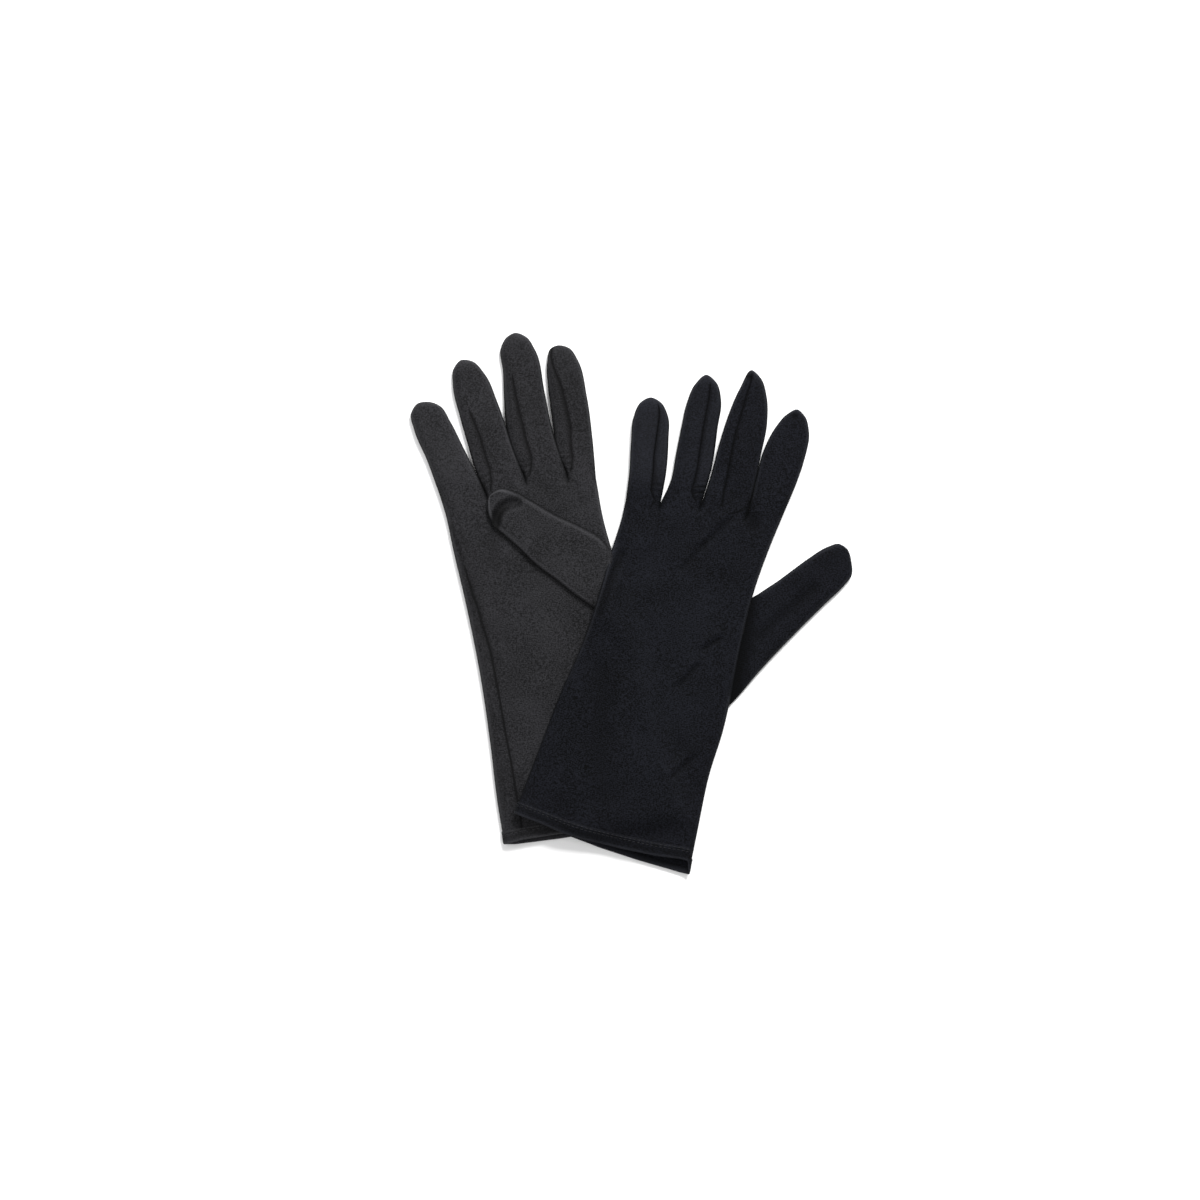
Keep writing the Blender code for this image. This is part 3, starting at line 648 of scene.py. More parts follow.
def right_thumb_surface():
    """The folded thumb on the palm, with its tip's end curled up round a hollow that holds painted shadow,
    and painted highlights on its edges, its curled lip and the fold beside the hollow.
    """
    sizes = bpy.context.scene.glove_sizes
    points, at = digit_tube(RIGHT["thumb"], sizes.thumb_height, FOLDED_SOFT)
    xy = points[..., :2]
    level = rise(at["edge"], 5.0)
    relief = 0.8 * unevenness(xy, 71) * smooth(at["v"] / 0.06)
    pocket = curve_distance(xy, TIP_POCKET)
    hollow = np.exp(-(pocket / 3.0) ** 2)
    curl = np.exp(-((at["edge"] - 1.2) / 1.5) ** 2) * smooth((at["v"] - 0.78) / 0.1)
    fold = np.exp(-((pocket - 4.2) / 1.3) ** 2) * (at["edge"] > 4)
    relief = relief - 3.0 * hollow + 0.6 * fold
    points[..., 2] += np.where(at["under"], 0, relief * level + 1.1 * curl * level)
    # Painted highlights along the edges, on the curled lip and on the fold.
    highlight_and_tone = 0.5 * np.exp(-((at["edge"] - 1.9) / 0.8) ** 2) * smooth(at["v"] / 0.1)
    highlight_and_tone = highlight_and_tone + 0.55 * curl + 0.2 * fold
    from_mouth = np.linalg.norm(xy - np.array(TIP_POCKET[0]), axis=-1)
    # Painted shadow in the tip's hollow, darkest near its mouth, and painted shade at the edges.
    depth = 1 - 0.62 * smooth((from_mouth - 4) / 14)
    shade = depth * (1 - smooth((pocket - 1.6) / 2.9)) + 0.95 * outline_shade(at["edge"] / 1.7)
    points[..., 2] += sizes.hand_height + THUMB_GAP
    return points, np.where(at["under"], 0, np.clip(shade, 0, 1)), np.clip(highlight_and_tone, 0, 1)


def left_thumb_surface():
    """The left thumb, flat beside the hand, with its root tucked inside the hand's edge; painted shadow at
    its root, painted shade in its ditch and at its edges, and painted highlights along its edges.
    """
    sizes = bpy.context.scene.glove_sizes
    points, at = digit_tube(LEFT["thumb"], sizes.finger_height * 0.94, DIGIT_SOFT)
    xy = points[..., :2]
    level = rise(at["edge"], 6.0)
    relief = 0.9 * unevenness(xy, 91) * smooth(at["v"] / 0.06)
    ditch, _ = segment_distance(xy, (52, 142), (74, 178))
    relief = relief - 0.9 * np.exp(-(ditch / 3.0) ** 2)
    points[..., 2] += np.where(at["under"], 0, relief * level)
    points[..., 2] *= 0.42 + 0.58 * smooth(at["v"] / 0.22)
    # Painted highlight along the edges.
    highlight_and_tone = 0.6 * np.exp(-((at["edge"] - 1.0) / 0.7) ** 2) * smooth(at["v"] / 0.2)
    # Painted shadow at the root, where it goes under the hand's edge, painted shade in the ditch, and a dark
    # line at the edges.
    shade = 0.95 * (1 - smooth((at["v"] - 0.05) / 0.19)) + 0.45 * np.exp(-(ditch / 3.6) ** 2)
    shade = shade + 0.85 * outline_shade(at["edge"])
    return points, np.where(at["under"], 0, np.clip(shade, 0, 1)), highlight_and_tone


def thumb_base_surface():
    """The folded thumb's base: rows from the crease to the hand's inner edge, which it joins, and once
    round."""
    sizes = bpy.context.scene.glove_sizes
    crease = np.array([RIGHT["thumb"][0], RIGHT["thumb"][-1]], float)
    joint = np.array([(41.2, 101.5), (34.6, 158.5)])
    q, under = ring(column_shares())
    v = np.linspace(0, 1, BASE_ROWS)[:, None]
    low = crease[0] + v * (joint[0] - crease[0])
    high = crease[1] + v * (joint[1] - crease[1])
    xy = low[:, None] + q[None, :, None] * (high - low)[:, None]
    width = np.linalg.norm(high - low, axis=-1)[:, None]
    edge = np.minimum(q, 1 - q) * width
    fall = 1 - smooth((v - 0.25) / 0.75)
    z = tube_height(edge, under, sizes.thumb_height, FOLDED_SOFT) * (0.25 + 0.75 * fall)
    z = z + (sizes.hand_height + THUMB_GAP) * (0.42 + 0.58 * rise((1 - v) * 18, 9))
    points = np.concatenate([xy, z[..., None]], -1)[::-1]
    return points, np.zeros(z.shape), np.zeros(z.shape)


# ---------------------------------------------------------------- meshes


def grid_faces(rows, columns, closed=False):
    """The four-sided faces of a grid of points, row by row, wound so that x then y faces up."""
    i = np.arange(rows - 1)[:, None]
    j = np.arange(columns if closed else columns - 1)[None]
    after = (j + 1) % columns
    quads = np.stack([i * columns + j, i * columns + after, (i + 1) * columns + after,
                      (i + 1) * columns + j], -1)
    return quads.reshape(-1, 4)


def make_mesh(name, points, faces, shade, highlight_and_tone, smooth_angle=0.9, thickness=0.0):
    """A mesh from points in metres with two values per point, its doubled points merged, its wall given."""
    mesh = bpy.data.meshes.new(name)
    mesh.from_pydata(points.reshape(-1, 3).tolist(), [], faces.tolist())
    # The first value is painted shade; the second is painted highlight along edges, folds and tips, with some
    # fingers' paler tone added.
    for label, values in (("shade", shade), ("highlight_and_tone", highlight_and_tone)):
        attribute = mesh.attributes.new(label, "FLOAT", "POINT")
        attribute.data.foreach_set("value", np.ascontiguousarray(values, np.float32).ravel())
    work = bmesh.new()
    work.from_mesh(mesh)
    bmesh.ops.remove_doubles(work, verts=work.verts, dist=2e-6)
    bmesh.ops.dissolve_degenerate(work, edges=work.edges, dist=1e-7)
    work.to_mesh(mesh)
    work.free()
    piece = bpy.data.objects.new(name, mesh)
    bpy.context.scene.collection.objects.link(piece)
    if thickness:
        wall = piece.modifiers.new("wall", "SOLIDIFY")
        wall.thickness = thickness
        wall.offset = -1
        wall.use_rim = True
        bpy.context.view_layer.update()
        graph = bpy.context.evaluated_depsgraph_get()
        walled = bpy.data.meshes.new_from_object(piece.evaluated_get(graph))
        piece.modifiers.clear()
        piece.data = walled
        walled.name = name
        bpy.data.meshes.remove(mesh)
        mesh = walled
    mesh.polygons.foreach_set("use_smooth", np.ones(len(mesh.polygons), bool))
    mesh.set_sharp_from_angle(angle=smooth_angle)
    return piece


def cloth_piece(name, glove, surface, nodes, closed=False):
    """A piece of cloth from a surface: a grid of points on the flat glove, with its painted shade and its
    painted highlights and tone. It measures the longest row across and the cross products of its faces'
    corners, and holds the width to at least NARROWEST_SHEET, but uses none of them; it hides the CAD
    nodes that it stands for. Only the width of a strip under NARROWEST_SHEET is declared larger than it
    measures; its area stays the measured one."""
    grid, shade, highlight_and_tone = surface
    sizes = bpy.context.scene.glove_sizes
    rows, columns = grid.shape[:2]
    faces = grid_faces(rows, columns, closed)
    piece = make_mesh(name, to_frame(grid, glove), faces, shade, highlight_and_tone, thickness=sizes.cloth * MM)
    piece.data.materials.append(cloth_material(glove["side"]))
    loop = np.concatenate([grid, grid[:, :1]], 1) if closed else grid
    width = np.linalg.norm(np.diff(loop, axis=1), axis=-1).sum(1).max() * MM
    corners = grid.reshape(-1, 3)[faces]
    one = np.cross(corners[:, 1] - corners[:, 0], corners[:, 2] - corners[:, 0])
    two = np.cross(corners[:, 2] - corners[:, 0], corners[:, 3] - corners[:, 0])
    width = max(width, NARROWEST_SHEET)
    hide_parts(*nodes)
    return piece


def bend_from_hand(piece, glove, joint_name, root, reach):
    """Works out where a digit's cloth would start to bend at its joint, past its root row, and where it
    would stop, reach millimetres on, but uses neither: it only bakes the piece's transform into its mesh."""
    joint = JOINTS[joint_name]
    out = np.array([-joint["axis"][1], joint["axis"][0], 0.0])
    out /= np.linalg.norm(out)
    pivot = np.array(joint["pos_m"])
    first = max(((to_frame(root, glove).reshape(-1, 3) - pivot) @ out).max(), -0.004)
    start = pivot + out * (first + 0.0003)
    end = start + out * reach * MM
    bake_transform(piece)


# ---------------------------------------------------------------- materials


class Number:
    """A number in a node tree that takes +, - and * like any number, adding its Math nodes."""

    def __init__(self, tree, socket):
        self.tree = tree
        self.socket = socket

    def joined(self, operation, first, second):
        node = add(self.tree, "ShaderNodeMath", {"operation": operation}, {0: first, 1: second})
        return Number(self.tree, node.outputs[0])

    def __add__(self, other):
        return self.joined("ADD", self, other)

    def __radd__(self, other):
        return self.joined("ADD", other, self)

    def __sub__(self, other):
        return self.joined("SUBTRACT", self, other)

    def __rsub__(self, other):
        return self.joined("SUBTRACT", other, self)

    def __mul__(self, other):
        return self.joined("MULTIPLY", self, other)

    def __rmul__(self, other):
        return self.joined("MULTIPLY", other, self)


def add(tree, kind, settings=None, sockets=None):
    """A node of this kind: its settings first, then a value or a link for each named or numbered socket."""
    node = tree.nodes.new(kind)
    for key, value in (settings or {}).items():
        setattr(node, key, value)
    for key, value in (sockets or {}).items():
        if isinstance(value, Number):
            tree.links.new(value.socket, node.inputs[key])
        elif isinstance(value, bpy.types.NodeSocket):
            tree.links.new(value, node.inputs[key])
        else:
            node.inputs[key].default_value = value
    return node


def mixed(tree, factor, first, second):
    """A colour between two colours."""
    node = add(tree, "ShaderNodeMix", {"data_type": "RGBA"}, {"Factor": factor})
    for socket, value in ((node.inputs[6], first), (node.inputs[7], second)):
        if isinstance(value, bpy.types.NodeSocket):
            tree.links.new(value, socket)
        else:
            socket.default_value = (*value, 1.0)
    return node.outputs[2]


def new_material(name):
    """A new material with its node tree and its shader."""
    material = bpy.data.materials.new(name)
    material.use_nodes = True
    return material, material.node_tree, material.node_tree.nodes["Principled BSDF"]


def glove_colour(side):
    """The colour of one glove's cloth."""
    looks = bpy.context.scene.glove_looks
    return tuple(looks.right_colour if side == "right" else looks.left_colour)


def cloth_material(side):
    """Fine stretch knit: wales and speckle in colour and bump, painted shade in seams, creases and hollows,
    painted highlights along edges and tips, and a dull sheen."""
    name = f"{side}_glove_knit"
    if name in bpy.data.materials:
        return bpy.data.materials[name]
    base = glove_colour(side)
    glove = RIGHT if side == "right" else LEFT
    material, tree, shader = new_material(name)
    where = add(tree, "ShaderNodeTexCoord").outputs["Object"]
    turn = (0, 0, -np.radians(glove["turn"]))
    grain = add(tree, "ShaderNodeMapping", {}, {"Vector": where, "Rotation": turn}).outputs[0]
    wale = add(tree, "ShaderNodeTexWave", {"bands_direction": "X"},
               {"Vector": grain, "Scale": 420.0, "Distortion": 1.6, "Detail": 1.0, "Detail Scale": 2.0})
    course = add(tree, "ShaderNodeTexWave", {"bands_direction": "Y"},
                 {"Vector": grain, "Scale": 300.0, "Distortion": 2.2, "Detail": 1.0, "Detail Scale": 2.0})
    fleck = add(tree, "ShaderNodeTexNoise", {},
                {"Vector": where, "Scale": 1250.0, "Detail": 1.0, "Roughness": 0.6})
    cloud = add(tree, "ShaderNodeTexNoise", {}, {"Vector": where, "Scale": 42.0, "Detail": 2.0})
    wale_value = Number(tree, wale.outputs["Fac"])
    course_value = Number(tree, course.outputs["Fac"])
    fleck_value = Number(tree, fleck.outputs["Fac"])
    cloud_value = Number(tree, cloud.outputs["Fac"])
    shade = Number(tree, add(tree, "ShaderNodeAttribute", {"attribute_name": "shade"}).outputs["Fac"])
    highlight_and_tone = Number(tree, add(tree, "ShaderNodeAttribute", {"attribute_name": "highlight_and_tone"}).outputs["Fac"])
    least, most, contrast = (0.2, 1.9, 2.8) if side == "right" else (0.15, 2.2, 3.4)
    dark = tuple(least * c for c in base)
    light = tuple(most * c for c in base)
    # The pale colour is a painted highlight, mixed in along edges, folds and tips, and for some fingers'
    # paler tone.
    pale = tuple(min(1.0, 4.0 * c + 0.015) for c in base)
    speckle = (fleck_value - 0.5) * contrast + (cloud_value - 0.5) * 0.7 + (wale_value - 0.5) * 0.25 + 0.5
    speckle = Number(tree, add(tree, "ShaderNodeClamp", {}, {"Value": speckle}).outputs[0])
    colour = mixed(tree, speckle, dark, light)
    colour = mixed(tree, highlight_and_tone * 0.55, colour, pale)
    # Painted shade: the colour goes towards near black where the shade value is high.
    colour = mixed(tree, shade * 0.92, colour, tuple(0.08 * c for c in base))
    tree.links.new(colour, shader.inputs["Base Color"])
    rough = 0.62 + fleck_value * 0.22
    tree.links.new(rough.socket, shader.inputs["Roughness"])
    relief = wale_value * 0.5 + course_value * 0.3 + fleck_value * 0.8
    bump = add(tree, "ShaderNodeBump", {}, {"Strength": 0.55, "Distance": 0.00035, "Height": relief})
    tree.links.new(bump.outputs[0], shader.inputs["Normal"])
    shader.inputs["Specular IOR Level"].default_value = 0.1 if side == "right" else 0.055
    shader.inputs["Sheen Weight"].default_value = bpy.context.scene.glove_looks.sheen
    shader.inputs["Sheen Roughness"].default_value = 0.45
    return material


def thread_material(side):
    """Twisted sewing thread: the cloth's colour, a little lighter and glossier, with a fine ply."""
    name = f"{side}_glove_thread"
    if name in bpy.data.materials:
        return bpy.data.materials[name]
    base = glove_colour(side)
    material, tree, shader = new_material(name)
    where = add(tree, "ShaderNodeTexCoord").outputs["Object"]
    ply = add(tree, "ShaderNodeTexNoise", {}, {"Vector": where, "Scale": 2600.0, "Detail": 1.0})
    twist = Number(tree, ply.outputs["Fac"])
    colour = mixed(tree, twist, tuple(0.8 * c for c in base), tuple(1.7 * c for c in base))
    tree.links.new(colour, shader.inputs["Base Color"])
    tree.links.new((0.4 + twist * 0.25).socket, shader.inputs["Roughness"])
    shader.inputs["Specular IOR Level"].default_value = 0.3
    return material


# ---------------------------------------------------------------- stitches and hems


def normals_of(grid):
    """Outward directions on a ring grid: the cross product of the steps across and along."""
    across = np.roll(grid, -1, 1) - np.roll(grid, 1, 1)
    along = np.gradient(grid, axis=0)
    out = np.cross(across, along)
    return out / np.maximum(np.linalg.norm(out, axis=-1, keepdims=True), 1e-9)


def stitches(name, glove, centres, along, out):
    """A row of stitches as one mesh: each is a short spindle, six-sided, its radius half a sine along it."""
    v = np.linspace(0, 1, 6)
    a = np.linspace(0, 2 * np.pi, 6, endpoint=False)
    radius = THREAD / 2 * np.sqrt(np.clip(np.sin(np.pi * (0.04 + 0.92 * v)), 0, 1))
    side = np.cross(out, along)
    spine = centres[:, None] + along[:, None] * ((v - 0.5) * STITCH_LENGTH)[None, :, None]
    spine = spine + out[:, None] * (0.22 * THREAD * np.sin(np.pi * v))[None, :, None]
    hoop = (side[:, None, None] * np.cos(a)[None, None, :, None]
            + out[:, None, None] * np.sin(a)[None, None, :, None])
    points = spine[:, :, None] + hoop * radius[None, :, None, None]
    one = grid_faces(6, 6, True)
    caps = np.array([[0, 5, 4, 3], [0, 3, 2, 1], [30, 31, 32, 33], [30, 33, 34, 35]])
    one = np.concatenate([one[:, ::-1], caps[:, ::-1]])
    faces = (one[None] + 36 * np.arange(len(centres))[:, None, None]).reshape(-1, 4)
    flat = np.zeros(points.shape[:-1])
    piece = make_mesh(name, to_frame(points, glove), faces, flat, flat, smooth_angle=1.4)
    piece.data.materials.append(thread_material(glove["side"]))
    return piece


def hem_band(glove, surface):
    """The turned-up hem: the cloth's first rows again, standing proud by a cloth's thickness, rolled over the
    mouth's edge and back inside."""
    sizes = bpy.context.scene.glove_sizes
    out = normals_of(surface)
    length = surface[-1, :, 1].mean()
    profile = np.array([(7.6, -0.1), (7.3, 0.28), (6.6, 0.5), (5.4, 0.42), (4.6, 0.5), (3.2, 0.58),
                        (1.6, 0.58),
                        (0.5, 0.5), (0.0, 0.25), (-0.15, -0.1), (0.0, -0.5), (0.6, -0.7), (3.0, -0.72)])
    rows = len(surface)
    at = np.clip(profile[:, 0], 0, None) / length * (rows - 1)
    i = np.minimum(at.astype(int), rows - 2)
    part = (at - i)[:, None, None]
    place = surface[i] * (1 - part) + surface[i + 1] * part
    turned_out = out[i] * (1 - part) + out[i + 1] * part
    grid = place + turned_out * profile[:, 1][:, None, None]
    grid[..., 1] += np.minimum(profile[:, 0], 0)[:, None]
    grid = grid[::-1]
    side = glove["side"]
    flat = np.zeros(grid.shape[:-1])
    depth = profile[::-1, 0][:, None] + flat
    # Painted shade: a line under the band's top edge, one between the stitch rows and a dark band nearer the
    # mouth.
    shade = 0.55 * np.exp(-((depth - 7.6) / 0.4) ** 2) + 0.3 * np.exp(-((depth - 5.4) / 0.5) ** 2)
    shade = shade + 0.5 * np.exp(-((depth - 3.0) / 1.7) ** 2)
    # Painted highlights at the rolled mouth and just below the band's top edge.
    highlight_and_tone = 0.75 * np.exp(-((depth - 0.2) / 0.9) ** 2) + 0.35 * np.exp(-((depth - 6.8) / 0.6) ** 2)
    piece = make_mesh(f"{side}_hem", to_frame(grid, glove), grid_faces(len(grid), grid.shape[1], True),
                      shade, highlight_and_tone)
    piece.data.materials.append(cloth_material(side))
    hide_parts(f"{side}_hem_back", f"{side}_hem_palm")
    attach(piece, f"{side}_hand")
    return piece


def hem_stitches(glove, surface):
    """Two rows of needle stitches round the hem."""
    out = normals_of(surface)
    length = surface[-1, :, 1].mean()
    side = glove["side"]
    for number, depth in enumerate(HEM_ROWS):
        at = depth / length * (len(surface) - 1)
        i = int(at)
        line = surface[i] * (1 - at + i) + surface[i + 1] * (at - i)
        face = out[i]
        loop = np.concatenate([line, line[:1]])
        face = np.concatenate([face, face[:1]])
        run = np.concatenate([[0], np.cumsum(np.linalg.norm(np.diff(loop, axis=0), axis=1))])
        count = int(run[-1] / STITCH_STEP)
        centre = (np.arange(count) + 0.5) * run[-1] / count
        place = np.stack([np.interp(centre, run, loop[:, c]) for c in range(3)], -1)
        ahead = np.stack([np.interp(centre + 0.3, run, loop[:, c]) for c in range(3)], -1)
        along = ahead - place
        along /= np.linalg.norm(along, axis=1, keepdims=True)
        normal = np.stack([np.interp(centre, run, face[:, c]) for c in range(3)], -1)
        normal -= (normal * along).sum(1, keepdims=True) * along
        normal /= np.linalg.norm(normal, axis=1, keepdims=True)
        piece = stitches(f"{side}_hem_stitches_{number + 1}", glove, place + normal * 0.5, along, normal)
        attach(piece, f"{side}_hand")


def seam_shade_ribbon(name, glove, path, lift, width):
    """A sewn line drawn as a narrow strip of painted shade along a path on the cloth, seven points across,
    sunk in the middle as a soft V where its stitches pull it in. The path is resampled every 0.6 mm."""
    steps = np.linalg.norm(np.diff(path, axis=0), axis=1)
    run = np.concatenate([[0], np.cumsum(steps)])
    at = np.linspace(0, run[-1], max(6, int(run[-1] / 0.6)))
    spine = np.stack([np.interp(at, run, path[:, c]) for c in range(3)], -1)
    ahead = np.gradient(spine, axis=0)
    ahead /= np.linalg.norm(ahead, axis=1, keepdims=True)
    side = np.stack([ahead[:, 1], -ahead[:, 0], 0 * at], -1)
    v = np.linspace(-1, 1, 7)
    ends = np.clip(np.minimum(at, run[-1] - at) / 2.5, 0.05, 1)[:, None]
    wave = 1 + 0.16 * np.sin(2 * np.pi * at / 2.4)[:, None]
    grid = spine[:, None] + side[:, None] * (v[None] * width / 2 * ends * wave)[..., None]
    grid[..., 2] += lift + 0.16 * v[None] ** 2 - 0.1 * np.abs(v[None]) ** 6
    flat = np.zeros(grid.shape[:-1])
    # Painted shade: the strip is dark all across, a little less so at its sides.
    shade = np.clip(1.0 - 0.35 * np.abs(v[None]) ** 3 + flat, 0, 1)
    piece = make_mesh(name, to_frame(grid, glove), grid_faces(*grid.shape[:2]), shade, flat,
                      thickness=0.12 * MM)
    piece.data.materials.append(cloth_material(glove["side"]))
    return piece


def resting(path, clouds):
    """A flat path put on the cloth: each point takes the mean height of the four nearest points of the cloth,
    and dips between points are filled."""
    keys = np.asarray(path, float)
    steps = np.linalg.norm(np.diff(keys, axis=0), axis=1)
    share = np.linspace(0, 1, max(8, int(steps.sum() / 1.5)))
    flat = through(keys, share)
    away = np.linalg.norm(flat[:, None] - clouds[None, :, :2], axis=-1)
    near = np.argsort(away, axis=1)[:, :4]
    height = clouds[near][..., 2].mean(1)
    for _ in range(3):
        ends = np.pad(height, 1, mode="edge")
        height = np.maximum(height, (ends[:-2] + ends[1:-1] + ends[2:]) / 3)
    return np.concatenate([flat, height[:, None]], -1)


def build_hand(glove):
    """The hand and forearm cloth, hem and hem stitches of one glove."""
    side = glove["side"]
    surface = hand_surface(glove)
    points = surface[0]
    nodes = [f"{side}_{part}" for part in ("back", "palm", "side_seam", "forearm_fold", "index_fold")]
    piece = cloth_piece(f"{side}_hand_cloth", glove, surface, nodes, True)
    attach(piece, f"{side}_hand")
    hem_band(glove, points)
    hem_stitches(glove, points)
    cloud = points[:, : 4 * COLUMNS + 1].reshape(-1, 3)
    for label, path, width in SEAM_LINES[side]:
        line = seam_shade_ribbon(f"{side}_{label}", glove, resting(path, cloud), 0.1, width)
        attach(line, f"{side}_hand")


def build_finger(glove, name):
    """One finger: its top and bottom cloth and its fourchettes, cut from one ring of columns."""
    side = glove["side"]
    points, shade, highlight_and_tone, at = finger_surface(glove, name)
    which = glove["seams"].get(name, ("none",))[0]
    line = seam_column(glove["seams"][name]) if name in glove["seams"] else 0
    first = 0 if name == "little" else (line if which == "low" else 1)
    last = COLUMNS if name == "index" else (line if which == "high" else COLUMNS - 1)
    under_first = COLUMNS if name == "index" else COLUMNS + SEAM_COLUMN
    under_last = 2 * COLUMNS if name == "little" else 2 * COLUMNS - SEAM_COLUMN
    top, bottom = ("palm", "back") if side == "right" else ("back", "palm")
    edge_node = {"little": f"{side}_little_outer_seam", "index": f"{side}_index_outer_fold"}.get(name)
    parts = [(f"{side}_{name}_{top}_cloth", range(first, last + 1),
              [f"{side}_{name}_{top}"] + ([edge_node] if edge_node else [])),
             (f"{side}_{name}_{bottom}_cloth", range(under_first, under_last + 1),
              [f"{side}_{name}_{bottom}"])]
    if name != "little":
        parts.append((f"{side}_{name}_fourchette_low_cloth", range(under_last, 2 * COLUMNS + first + 1),
                      [f"{side}_{name}_fourchette_low"]))
    if name != "index":
        parts.append((f"{side}_{name}_fourchette_high_cloth", range(last, under_first + 1),
                      [f"{side}_{name}_fourchette_high"]))
    for label, columns, nodes in parts:
        pick = np.array(list(columns)) % (2 * COLUMNS)
        piece = cloth_piece(label, glove, (points[:, pick], shade[:, pick], highlight_and_tone[:, pick]), nodes)
        bend_from_hand(piece, glove, f"{side}_{name}_fold", points[:1], FINGER_BEND)
    if name in glove["seams"]:
        rows = at["v"][:, 0] <= glove["seams"][name][2] * 0.985
        path = points[rows][:, line]
        ribbon = seam_shade_ribbon(f"{side}_{name}_seam", glove, path, 0.12, 0.95)
        bend_from_hand(ribbon, glove, f"{side}_{name}_fold", points[:1], FINGER_BEND)


def build_thumb(glove, surface, joint, reach):
    """One thumb: its top and bottom cloth."""
    side = glove["side"]
    for label, first in (("upper", 0), ("lower", COLUMNS)):
        pick = np.arange(first, first + COLUMNS + 1) % (2 * COLUMNS)
        nodes = [f"{side}_thumb_{label}", f"{side}_thumb_{label}_edge"]
        part = tuple(values[:, pick] for values in surface)
        piece = cloth_piece(f"{side}_thumb_{label}_cloth", glove, part, nodes, False)
        bend_from_hand(piece, glove, joint, surface[0][:1], reach)


# ---------------------------------------------------------------- the add-on


class GloveSizes(PropertyGroup):
    """Sizes of the cloth and of the flattened tubes, in millimetres."""

    cloth: FloatProperty(name="Cloth", description="Thickness of the cloth in millimetres", default=0.55,
                         min=0.2)
    hand_height: FloatProperty(name="Hand height", description="Height of the flat hand in millimetres",
                               default=5.4)
    finger_height: FloatProperty(name="Finger height", description="Height of a flat finger", default=5.2)
    thumb_height: FloatProperty(name="Thumb height", description="Height of the folded thumb", default=3.8)
    drape_run: FloatProperty(name="Drape", description="Run over which the top glove comes down",
                             default=17.0)


class GloveLooks(PropertyGroup):
    """Colours and sheen of the two gloves."""

    right_colour: FloatVectorProperty(name="Right glove", description="Colour of the lower glove's cloth",
                                      default=(0.0110, 0.0109, 0.0122), subtype="COLOR", size=3, min=0, max=1)
    left_colour: FloatVectorProperty(name="Left glove", description="Colour of the upper glove's cloth",
                                     default=(0.0034, 0.0037, 0.0052), subtype="COLOR", size=3, min=0, max=1)
    sheen: FloatProperty(name="Sheen", description="How much light the cloth's nap catches", default=0.012,
                         min=0)


class GloveStage(PropertyGroup):
    """Light, floor and camera."""

    light: FloatProperty(name="Light", description="Power of the main soft light in watts", default=44.0,
                         min=0)
    lens: FloatProperty(name="Lens", description="Focal length in millimetres", default=100.0, min=10)
    view: FloatProperty(name="View width", description="Width of the view on the floor", default=0.696,
                        unit="LENGTH")


class GLOVES_OT_right_glove(Operator):
    """Builds the lower glove: hand, hem, four fingers, folded thumb and its base"""

    bl_idname = "gloves.right_glove"
    bl_label = "Right glove"

    def execute(self, context):
        build_hand(RIGHT)
        for name in FINGERS:
            build_finger(RIGHT, name)
        build_thumb(RIGHT, right_thumb_surface(), "right_thumb_lift", 9.0)
        nodes = ["right_thumb_base_upper", "right_thumb_base_lower"]
        piece = cloth_piece("right_thumb_base_cloth", RIGHT, thumb_base_surface(), nodes, True)
        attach(piece, "right_hand")
        return {"FINISHED"}


class GLOVES_OT_drape(Operator):
    """Finds how the upper glove comes to rest on the lower one, by a cloth simulation"""

    bl_idname = "gloves.drape"
    bl_label = "Drape"

    def execute(self, context):
        DRAPED.clear()
        drape_over_right()
        return {"FINISHED"}


class GLOVES_OT_left_glove(Operator):
    """Builds the upper glove: hand, hem, four fingers and thumb"""

    bl_idname = "gloves.left_glove"
    bl_label = "Left glove"

    def execute(self, context):
        build_hand(LEFT)
        for name in FINGERS:
            build_finger(LEFT, name)
        build_thumb(LEFT, left_thumb_surface(), "left_thumb_fold", 12.0)
        return {"FINISHED"}


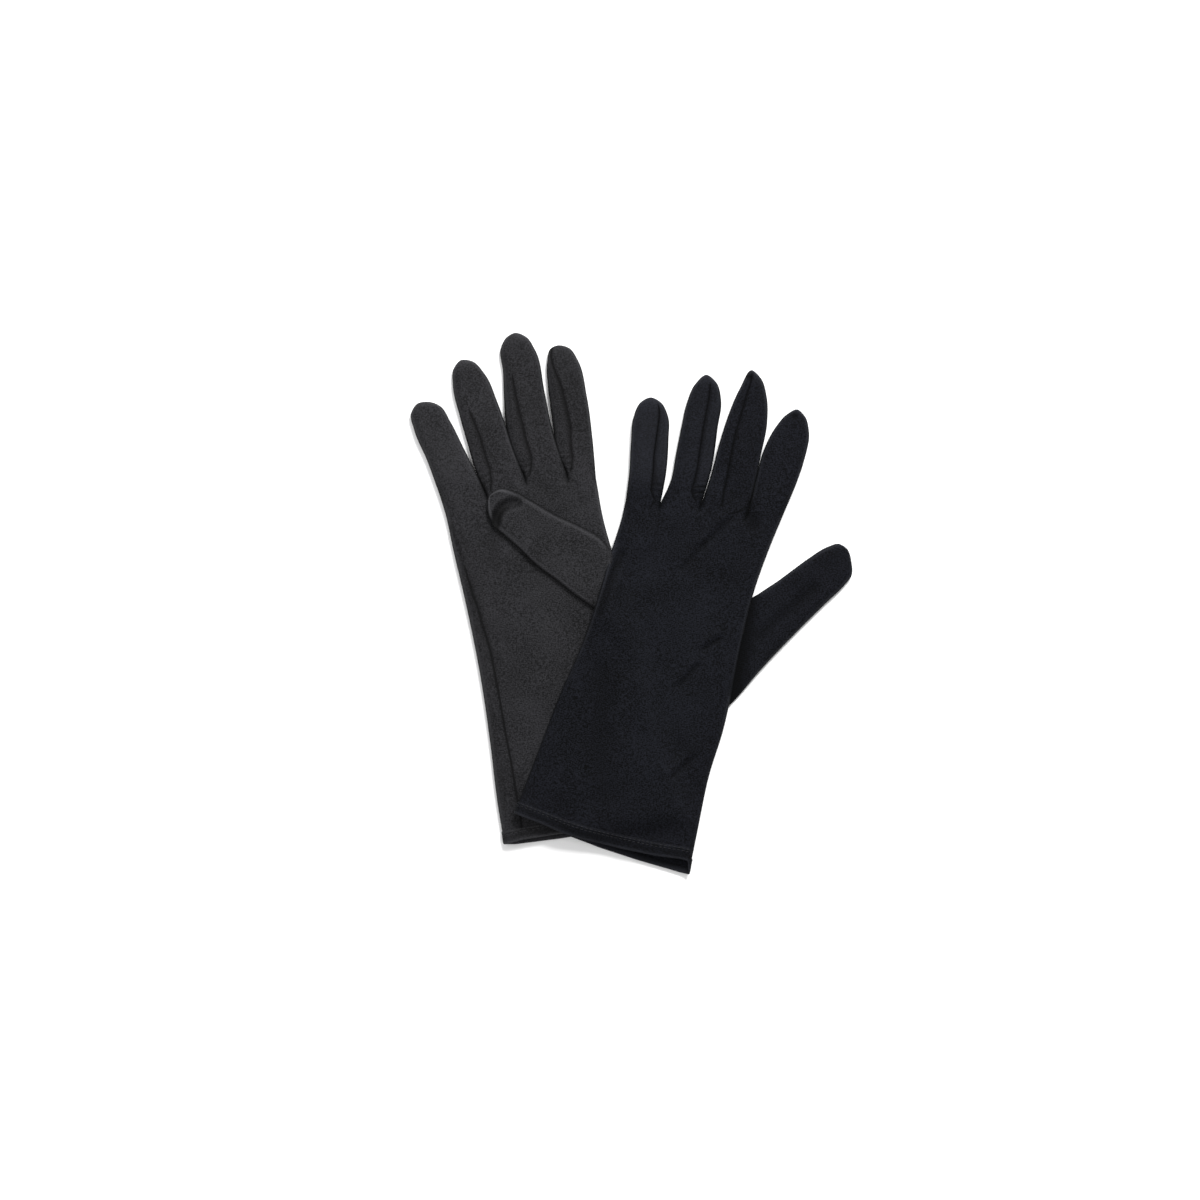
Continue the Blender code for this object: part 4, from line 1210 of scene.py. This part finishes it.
class GLOVES_OT_stage(Operator):
    """Makes the floor, the soft light and the camera straight above"""

    bl_idname = "gloves.stage"
    bl_label = "Stage"

    def execute(self, context):
        settings = context.scene.glove_stage
        context.scene.view_settings.view_transform = "Standard"
        mesh = bpy.data.meshes.new("floor")
        mesh.from_pydata([(-20, -20, 0), (20, -20, 0), (20, 20, 0), (-20, 20, 0)], [], [(0, 1, 2, 3)])
        floor = bpy.data.objects.new("floor", mesh)
        context.scene.collection.objects.link(floor)
        floor.location.z = CAD_BOX[0][2] - 0.0002
        pale, _, shader = new_material("floor_pale")
        shader.inputs["Base Color"].default_value = (0.93, 0.93, 0.93, 1)
        shader.inputs["Roughness"].default_value = 0.9
        shader.inputs["Specular IOR Level"].default_value = 0.1
        mesh.materials.append(pale)
        world = bpy.data.worlds.new("studio")
        world.use_nodes = True
        sky = world.node_tree.nodes["Background"]
        sky.inputs[0].default_value = (1, 1, 1, 1)
        sky.inputs[1].default_value = 0.56
        context.scene.world = world
        for name, place, size, power in (("key", (0.45, 1.15, 1.25), 0.55, settings.light),
                                         ("fill", (-0.9, 0.2, 1.6), 1.2, settings.light * 0.25)):
            lamp = bpy.data.lights.new(name, "AREA")
            lamp.size = size
            lamp.energy = power
            light = bpy.data.objects.new(name, lamp)
            light.location = place
            aim = -np.array(place)
            light.rotation_euler = (float(np.arccos(place[2] / np.linalg.norm(aim))), 0.0,
                                    float(np.arctan2(place[1], place[0]) + np.pi / 2))
            context.scene.collection.objects.link(light)
        camera = bpy.data.cameras.new("camera")
        camera.lens = settings.lens
        camera.sensor_width = 36
        view = bpy.data.objects.new("camera", camera)
        view.location = (-0.0210, 0.0018, settings.view * settings.lens / 36)
        context.scene.collection.objects.link(view)
        context.scene.camera = view
        return {"FINISHED"}


class GLOVES_PT_panel(Panel):
    """Lists the sizes, colours and builders"""

    bl_idname = "GLOVES_PT_panel"
    bl_label = "Gloves"
    bl_space_type = "VIEW_3D"
    bl_region_type = "UI"
    bl_category = "Gloves"

    def draw(self, context):
        for group in (context.scene.glove_sizes, context.scene.glove_looks, context.scene.glove_stage):
            box = self.layout.box()
            for name in group.__annotations__:
                box.prop(group, name)
        for operator in (GLOVES_OT_right_glove, GLOVES_OT_drape, GLOVES_OT_left_glove, GLOVES_OT_stage):
            self.layout.operator(operator.bl_idname)


CLASSES = (GloveSizes, GloveLooks, GloveStage, GLOVES_OT_right_glove, GLOVES_OT_drape, GLOVES_OT_left_glove,
           GLOVES_OT_stage, GLOVES_PT_panel)


def register():
    for item in CLASSES:
        bpy.utils.register_class(item)
    bpy.types.Scene.glove_sizes = PointerProperty(type=GloveSizes)
    bpy.types.Scene.glove_looks = PointerProperty(type=GloveLooks)
    bpy.types.Scene.glove_stage = PointerProperty(type=GloveStage)


def unregister():
    del bpy.types.Scene.glove_stage
    del bpy.types.Scene.glove_looks
    del bpy.types.Scene.glove_sizes
    for item in reversed(CLASSES):
        bpy.utils.unregister_class(item)


def main():
    """Registers the add-on and builds everything in order."""
    register()
    bpy.ops.gloves.right_glove()
    bpy.ops.gloves.drape()
    bpy.ops.gloves.left_glove()
    bpy.ops.gloves.stage()


if __name__ == "__main__":
    main()
